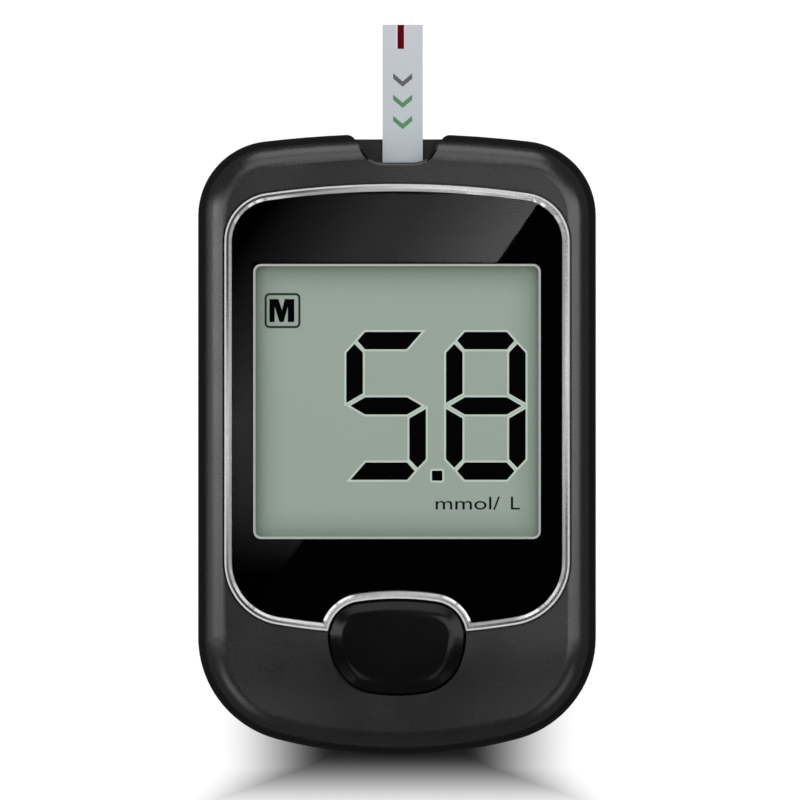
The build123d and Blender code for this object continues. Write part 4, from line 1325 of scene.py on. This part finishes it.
@dataclass(frozen=True)
class FloorPaper(Finish):
    """White paper that shows as white, with a painted shadow below the object where its white glow
    is cut away in a drawn shape.

    Painted shade: its colour is dark near the object and pale from far_reach on, and shiny faces
    see its white glow only far off, so they mirror a dark floor near the object. Both reaches are
    in metres.
    """

    near: float = 0.045
    far: float = 0.9
    near_reach: float = 0.5
    far_reach: float = 1.2
    fibre: float = 0.8
    gloss: Point = (0.85, 0.95)
    shade_middle: float = 0.2
    shade_half: Point = (9.0, 26.5)
    shade_low: Point = (-43.7, -53.4)
    shade_high: Point = (-30.0, -20.0)
    flare_y: float = -46.0
    shade_power: float = 1.2

    def _painted_shadow_lift(self, sheet: NodeSheet, x: Any, y: Any) -> bpy.types.NodeSocket:
        """Share of white glow that is left, cut away in a drawn shape below the object so that a
        painted shadow shows there.

        Args:
            sheet: Sheet of the paper.
            x: Output with the place across the object.
            y: Output with the place along it.

        Returns:
            The output with the share, from 0 in the painted shadow to 1 outside it.
        """
        # painted shadow: the cut-out is as wide as the button end, flares out below it and fades to
        # white further down
        aside = sheet.math("ABSOLUTE", sheet.math("SUBTRACT", x, self.shade_middle * MM))
        flare = sheet.math("MAXIMUM", sheet.math("SUBTRACT", self.flare_y * MM, y), 0.0)
        inner = sheet.math("SUBTRACT", aside, flare)
        lift: Any = 0.0
        for value, (start, end) in ((inner, self.shade_half), (y, self.shade_low),
                                    (y, self.shade_high)):
            step = sheet.spread(value, start * MM, end * MM, 0.0, 1.0, True)
            lift = sheet.math("MAXIMUM", step, lift)
        return sheet.math("POWER", lift, self.shade_power)

    def fill(self, sheet: NodeSheet) -> None:
        """Makes the paper.

        Args:
            sheet: Sheet of the material.
        """
        place = sheet.place()
        x, y, _ = sheet.axes(place)
        reach = sheet.node("VectorMath", {0: place}, operation="LENGTH").outputs["Value"]
        away = sheet.spread(reach, self.near_reach, self.far_reach, 0.0, 1.0, True)
        lift = self._painted_shadow_lift(sheet, x, y)
        rays = sheet.node("LightPath").outputs
        seen = sheet.math("MAXIMUM", rays["Is Camera Ray"], rays["Is Transmission Ray"])
        # painted shade: mirrors see the white glow only far from the object and the dark near
        # colour close to it
        mirrored = sheet.math("MULTIPLY", rays["Is Glossy Ray"], away)
        shown = sheet.math("MAXIMUM", sheet.math("MULTIPLY", seen, lift), mirrored)
        # painted shade and shadow: the base colour is dark near the object, and the glow is cut
        # away in the painted shadow
        paper = sheet.node("BsdfPrincipled", {
            "Base Color": sheet.blend(away, scaled(WHITE, self.near), scaled(WHITE, self.far)),
            "Roughness": sheet.mottle(sheet.grain(self.fibre, RICH_DETAIL), *self.gloss),
            "Specular IOR Level": 0.0,
            "Emission Color": (*WHITE, 1.0),
            "Emission Strength": shown,
        })
        clear = sheet.node("BsdfTransparent")
        under = sheet.node("NewGeometry").outputs["Backfacing"]
        shown_side = sheet.node("MixShader", {0: under, 1: paper.outputs[0], 2: clear.outputs[0]})
        sheet.node("OutputMaterial", {0: shown_side.outputs[0]})


@dataclass(frozen=True)
class SheetGlow(Finish):
    """Light of the large card, dimmer with the distance from its slanted edge."""

    strength: float = 1.9
    start: Point = (-2.6, 1.8)
    end: Point = (-29.0, 20.2)
    stops: tuple[Point, ...] = ((0.0, 1.0), (0.24, 0.56), (0.42, 0.345), (0.56, 0.31),
                                (0.76, 0.14), (0.87, 0.075), (1.0, 0.0))
    rise: Point = (-20.2, 5.2)

    def fill(self, sheet: NodeSheet) -> None:
        """Makes the card's light.

        Args:
            sheet: Sheet of the material.
        """
        x, y, _ = sheet.axes(sheet.place())
        run = Vector(self.end) - Vector(self.start)
        along = sheet.math("ADD", sheet.math("MULTIPLY", x, run.x),
                           sheet.math("MULTIPLY", y, run.y))
        low = run.dot(Vector(self.start)) * MM
        share = sheet.spread(along, low, low + run.length_squared * MM, 0.0, 1.0)
        glow = sheet.math("MULTIPLY", sheet.ramp(share, self.stops), self.strength)
        step = sheet.spread(y, self.rise[0] * MM, self.rise[1] * MM, 0.0, 1.0, True)
        sheet.glow(sheet.math("MULTIPLY", glow, step))


@dataclass(frozen=True)
class RingGlow(Finish):
    """Light over the ring, bright at the middle of each side and dim at the corners."""

    corner: float = 0.1
    middle: float = 1.25
    centre: Point = (0.5, 5.0)
    skew: Point = (0.12, 0.2)
    across: Point = (2.0, 18.0)
    along: Point = (2.0, 22.0)

    def fill(self, sheet: NodeSheet) -> None:
        """Makes the card's light.

        Args:
            sheet: Sheet of the material.
        """
        x, y, _ = sheet.axes(sheet.place())
        humps = []
        for value, other, centre, skew, (flat, reach) in (
                (x, y, self.centre[0], self.skew[0], self.across),
                (y, x, self.centre[1], self.skew[1], self.along)):
            middle = sheet.math("ADD", sheet.math("MULTIPLY", other, skew), centre * MM)
            humps.append(sheet.hump(value, middle, flat * MM, reach * MM))
        share = sheet.math("MAXIMUM", *humps)
        sheet.glow(sheet.spread(share, 0.0, 1.0, self.corner, self.middle))


@dataclass(frozen=True)
class EvenGlow(Finish):
    """Even light of a plain card."""

    strength: float

    def fill(self, sheet: NodeSheet) -> None:
        """Makes the card's light."""
        sheet.glow(self.strength)


@dataclass(frozen=True)
class MirrorCard:
    """Card over the object that shows only in its shiny faces."""

    name: str
    corners: tuple[tuple[Point, ...], ...]
    glow: Finish

    def hang(self, height: float, above: float) -> None:
        """Makes the card, level with the floor.

        Args:
            height: Height of the card.
            above: Share by which its corners lie further out than where they show.
        """
        vertices: list[Spot] = []
        faces: list[tuple[int, ...]] = []
        wide = (1 + above) * MM
        for outline in self.corners:
            start = len(vertices)
            vertices += [(x * wide, y * wide, height * MM) for x, y in outline]
            faces.append(tuple(range(start, len(vertices))))
        mesh = bpy.data.meshes.new(self.name)
        mesh.from_pydata(vertices, [], faces)
        mesh.materials.append(self.glow.material())
        card = bpy.data.objects.new(self.name, mesh)
        card.visible_camera = card.visible_diffuse = card.visible_shadow = False
        card.visible_transmission = False
        bpy.context.scene.collection.objects.link(card)


@dataclass
class Studio:
    """White floor, soft lamps, the cards that lens and ring mirror, and the camera."""

    camera_at: Point = (0.424, 6.258)
    field_width: float = 113.13
    focus_z: float = 20.7
    camera_height: float = 4000.0
    sensor: float = 36.0
    clip_end: float = 40.0
    floor_half: float = 3.0
    floor_z: float = -0.02
    card_height: float = 150.0
    slant: tuple[Point, Point] = ((20.86, 35.2), (-23.4, -28.2))
    card_left: float = -23.4
    hole_left: float = -20.35
    hole_y: Point = (-13.4, 25.5)
    sheet_glow: Finish = SheetGlow("sheet_glow")
    ring_glow: Finish = RingGlow("ring_glow")
    ring_height: float = 60.0
    facing_up: float = 0.5
    boxes: tuple[SoftBox, ...] = (
        SoftBox("left_box", (-0.35, 0.05, 0.49), (0.13, 0.5), 4.6),
        SoftBox("left_wash", (-0.5, 0.05, 0.32), (0.26, 0.5), 1.0),
        SoftBox("right_box", (0.27, 0.05, 0.53), (0.22, 0.5), 3.3),
        SoftBox("end_box", (0.0, 0.33, 0.49), (0.4, 0.28), 2.2),
        SoftBox("end_wash", (0.0, 0.53, 0.26), (0.4, 0.27), 2.5),
        SoftBox("low_left_box", (-0.3, -0.32, 0.42), (0.25, 0.2), 2.1),
        SoftBox("low_right_box", (0.3, -0.32, 0.42), (0.25, 0.2), 1.4),
        SoftBox("foot_wash", (0.0, -0.31, 0.5), (0.5, 0.3), 0.05),
    )
    corner_cards: tuple[tuple[Point, ...], ...] = (
        ((-36.0, -112.0), (-18.0, -112.0), (-18.0, -62.0), (-36.0, -62.0)),
        ((19.0, -112.0), (37.0, -112.0), (37.0, -62.0), (19.0, -62.0)),
    )
    corner_glow: Finish = EvenGlow("corner_glow", 1.8)
    low_rise: Point = (0.0, 0.5)
    low_sky: Point = (0.2, 0.25)
    high_rise: Point = (0.5, 0.9)
    high_sky: Point = (1.0, 0.02)
    rim_light: float = 0.42
    rim_band: Point = (0.015, 0.035)
    soft_fill: float = 0.15

    def _floor(self) -> None:
        """Lays the floor."""
        half, z = self.floor_half, self.floor_z * MM
        mesh = bpy.data.meshes.new("floor")
        corners = [(-half, -half, z), (half, -half, z), (half, half, z), (-half, half, z)]
        mesh.from_pydata(corners, [], [tuple(range(len(corners)))])
        floor = bpy.data.objects.new("floor", mesh)
        mesh.materials.append(FloorPaper("floor_paper").material())
        bpy.context.scene.collection.objects.link(floor)

    def _ring_faces(self) -> tuple[tuple[Point, ...], ...]:
        """Outlines of the ring's faces that look up.

        Returns:
            The corners of each face, seen from above.
        """
        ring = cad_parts["bezel_trim"]
        spots = [ring.matrix_world @ v.co / MM for v in ring.data.vertices]
        return tuple(tuple((spots[i].x, spots[i].y) for i in face.vertices)
                     for face in ring.data.polygons if face.normal.z > self.facing_up)

    def _cards(self) -> None:
        """Hangs the cards for the lens, with a hole over the display, the corners and the ring."""
        (tx, ty), (bx, by) = self.slant
        far_left, left, (low, high) = self.card_left, self.hole_left, self.hole_y

        def edge(y: float) -> Point:
            """Point of the slanted edge at a height."""
            return (bx + (tx - bx) * (y - by) / (ty - by), y)

        sheets = (
            ((far_left, high), edge(high), (tx, ty), (far_left, ty)),
            ((far_left, low), (left, low), (left, high), (far_left, high)),
            ((bx, by), edge(low), (far_left, low)),
        )
        cards = (
            (MirrorCard("sheet_card", sheets, self.sheet_glow), self.card_height),
            (MirrorCard("corner_card", self.corner_cards, self.corner_glow), self.card_height),
            (MirrorCard("ring_card", self._ring_faces(), self.ring_glow), self.ring_height),
        )
        for card, height in cards:
            card.hang(self.focus_z + height, height / self.camera_height)

    def _world(self) -> None:
        """Sets the surroundings: white to look at, dim overhead in mirrors, soft fill."""
        world = bpy.data.worlds.new("studio")
        bpy.context.scene.world = world
        world.use_nodes = True
        sheet = NodeSheet(world.node_tree)
        up = sheet.node("SeparateXYZ", {0: sheet.node("TexCoord").outputs["Generated"]}).outputs[2]
        rays = sheet.node("LightPath").outputs
        low_part = sheet.spread(up, *self.low_rise, *self.low_sky)
        high_part = sheet.spread(up, *self.high_rise, *self.high_sky, True)
        rim = sheet.spread(sheet.math("ABSOLUTE", up), *self.rim_band, self.rim_light, 0.0)
        bounces = sheet.math("ADD", rays["Diffuse Depth"], rays["Glossy Depth"])
        straight = sheet.math("LESS_THAN", bounces, HALF_STEP)
        through = sheet.math("MULTIPLY", rays["Is Transmission Ray"], straight)
        shown = sheet.math("MAXIMUM", rays["Is Camera Ray"], through)
        sky = sheet.math("ADD", sheet.math("MULTIPLY", low_part, high_part), rim)
        glossy = sheet.math("MULTIPLY", rays["Is Glossy Ray"], sky)
        fill = sheet.math("MULTIPLY", rays["Is Diffuse Ray"], self.soft_fill)
        light = sheet.math("ADD", shown, sheet.math("ADD", glossy, fill))
        sky_light = sheet.node("Background", {"Color": (*WHITE, 1.0), "Strength": light})
        sheet.node("OutputWorld", {0: sky_light.outputs[0]})

    def _camera(self) -> None:
        """Puts the camera straight over the display."""
        data = bpy.data.cameras.new("camera")
        data.sensor_width = self.sensor
        data.lens = self.sensor * self.camera_height / self.field_width
        data.clip_end = self.clip_end
        camera = bpy.data.objects.new("camera", data)
        camera.location = Vector((*self.camera_at, self.focus_z + self.camera_height)) * MM
        bpy.context.scene.collection.objects.link(camera)
        bpy.context.scene.camera = camera

    def build(self) -> None:
        """Sets up the whole studio."""
        bpy.context.scene.view_settings.view_transform = "Standard"
        self._floor()
        self._world()
        for box in self.boxes:
            box.hang()
        self._cards()
        self._camera()
        LOG.info("studio is set")


def main() -> None:
    """Builds every sub-assembly and then the studio."""
    logging.basicConfig(level=logging.INFO, format="%(name)s: %(message)s")
    for part in (Housing(), Bezel(), LensStack(), DisplayReadout(), KeyButton(), StripPort(),
                 PortRim(), TestStrip(), BatteryBay(), Electronics(), RearFace(), Studio()):
        LOG.info("building %s", type(part).__name__)
        part.build()


if __name__ == "__main__":
    main()
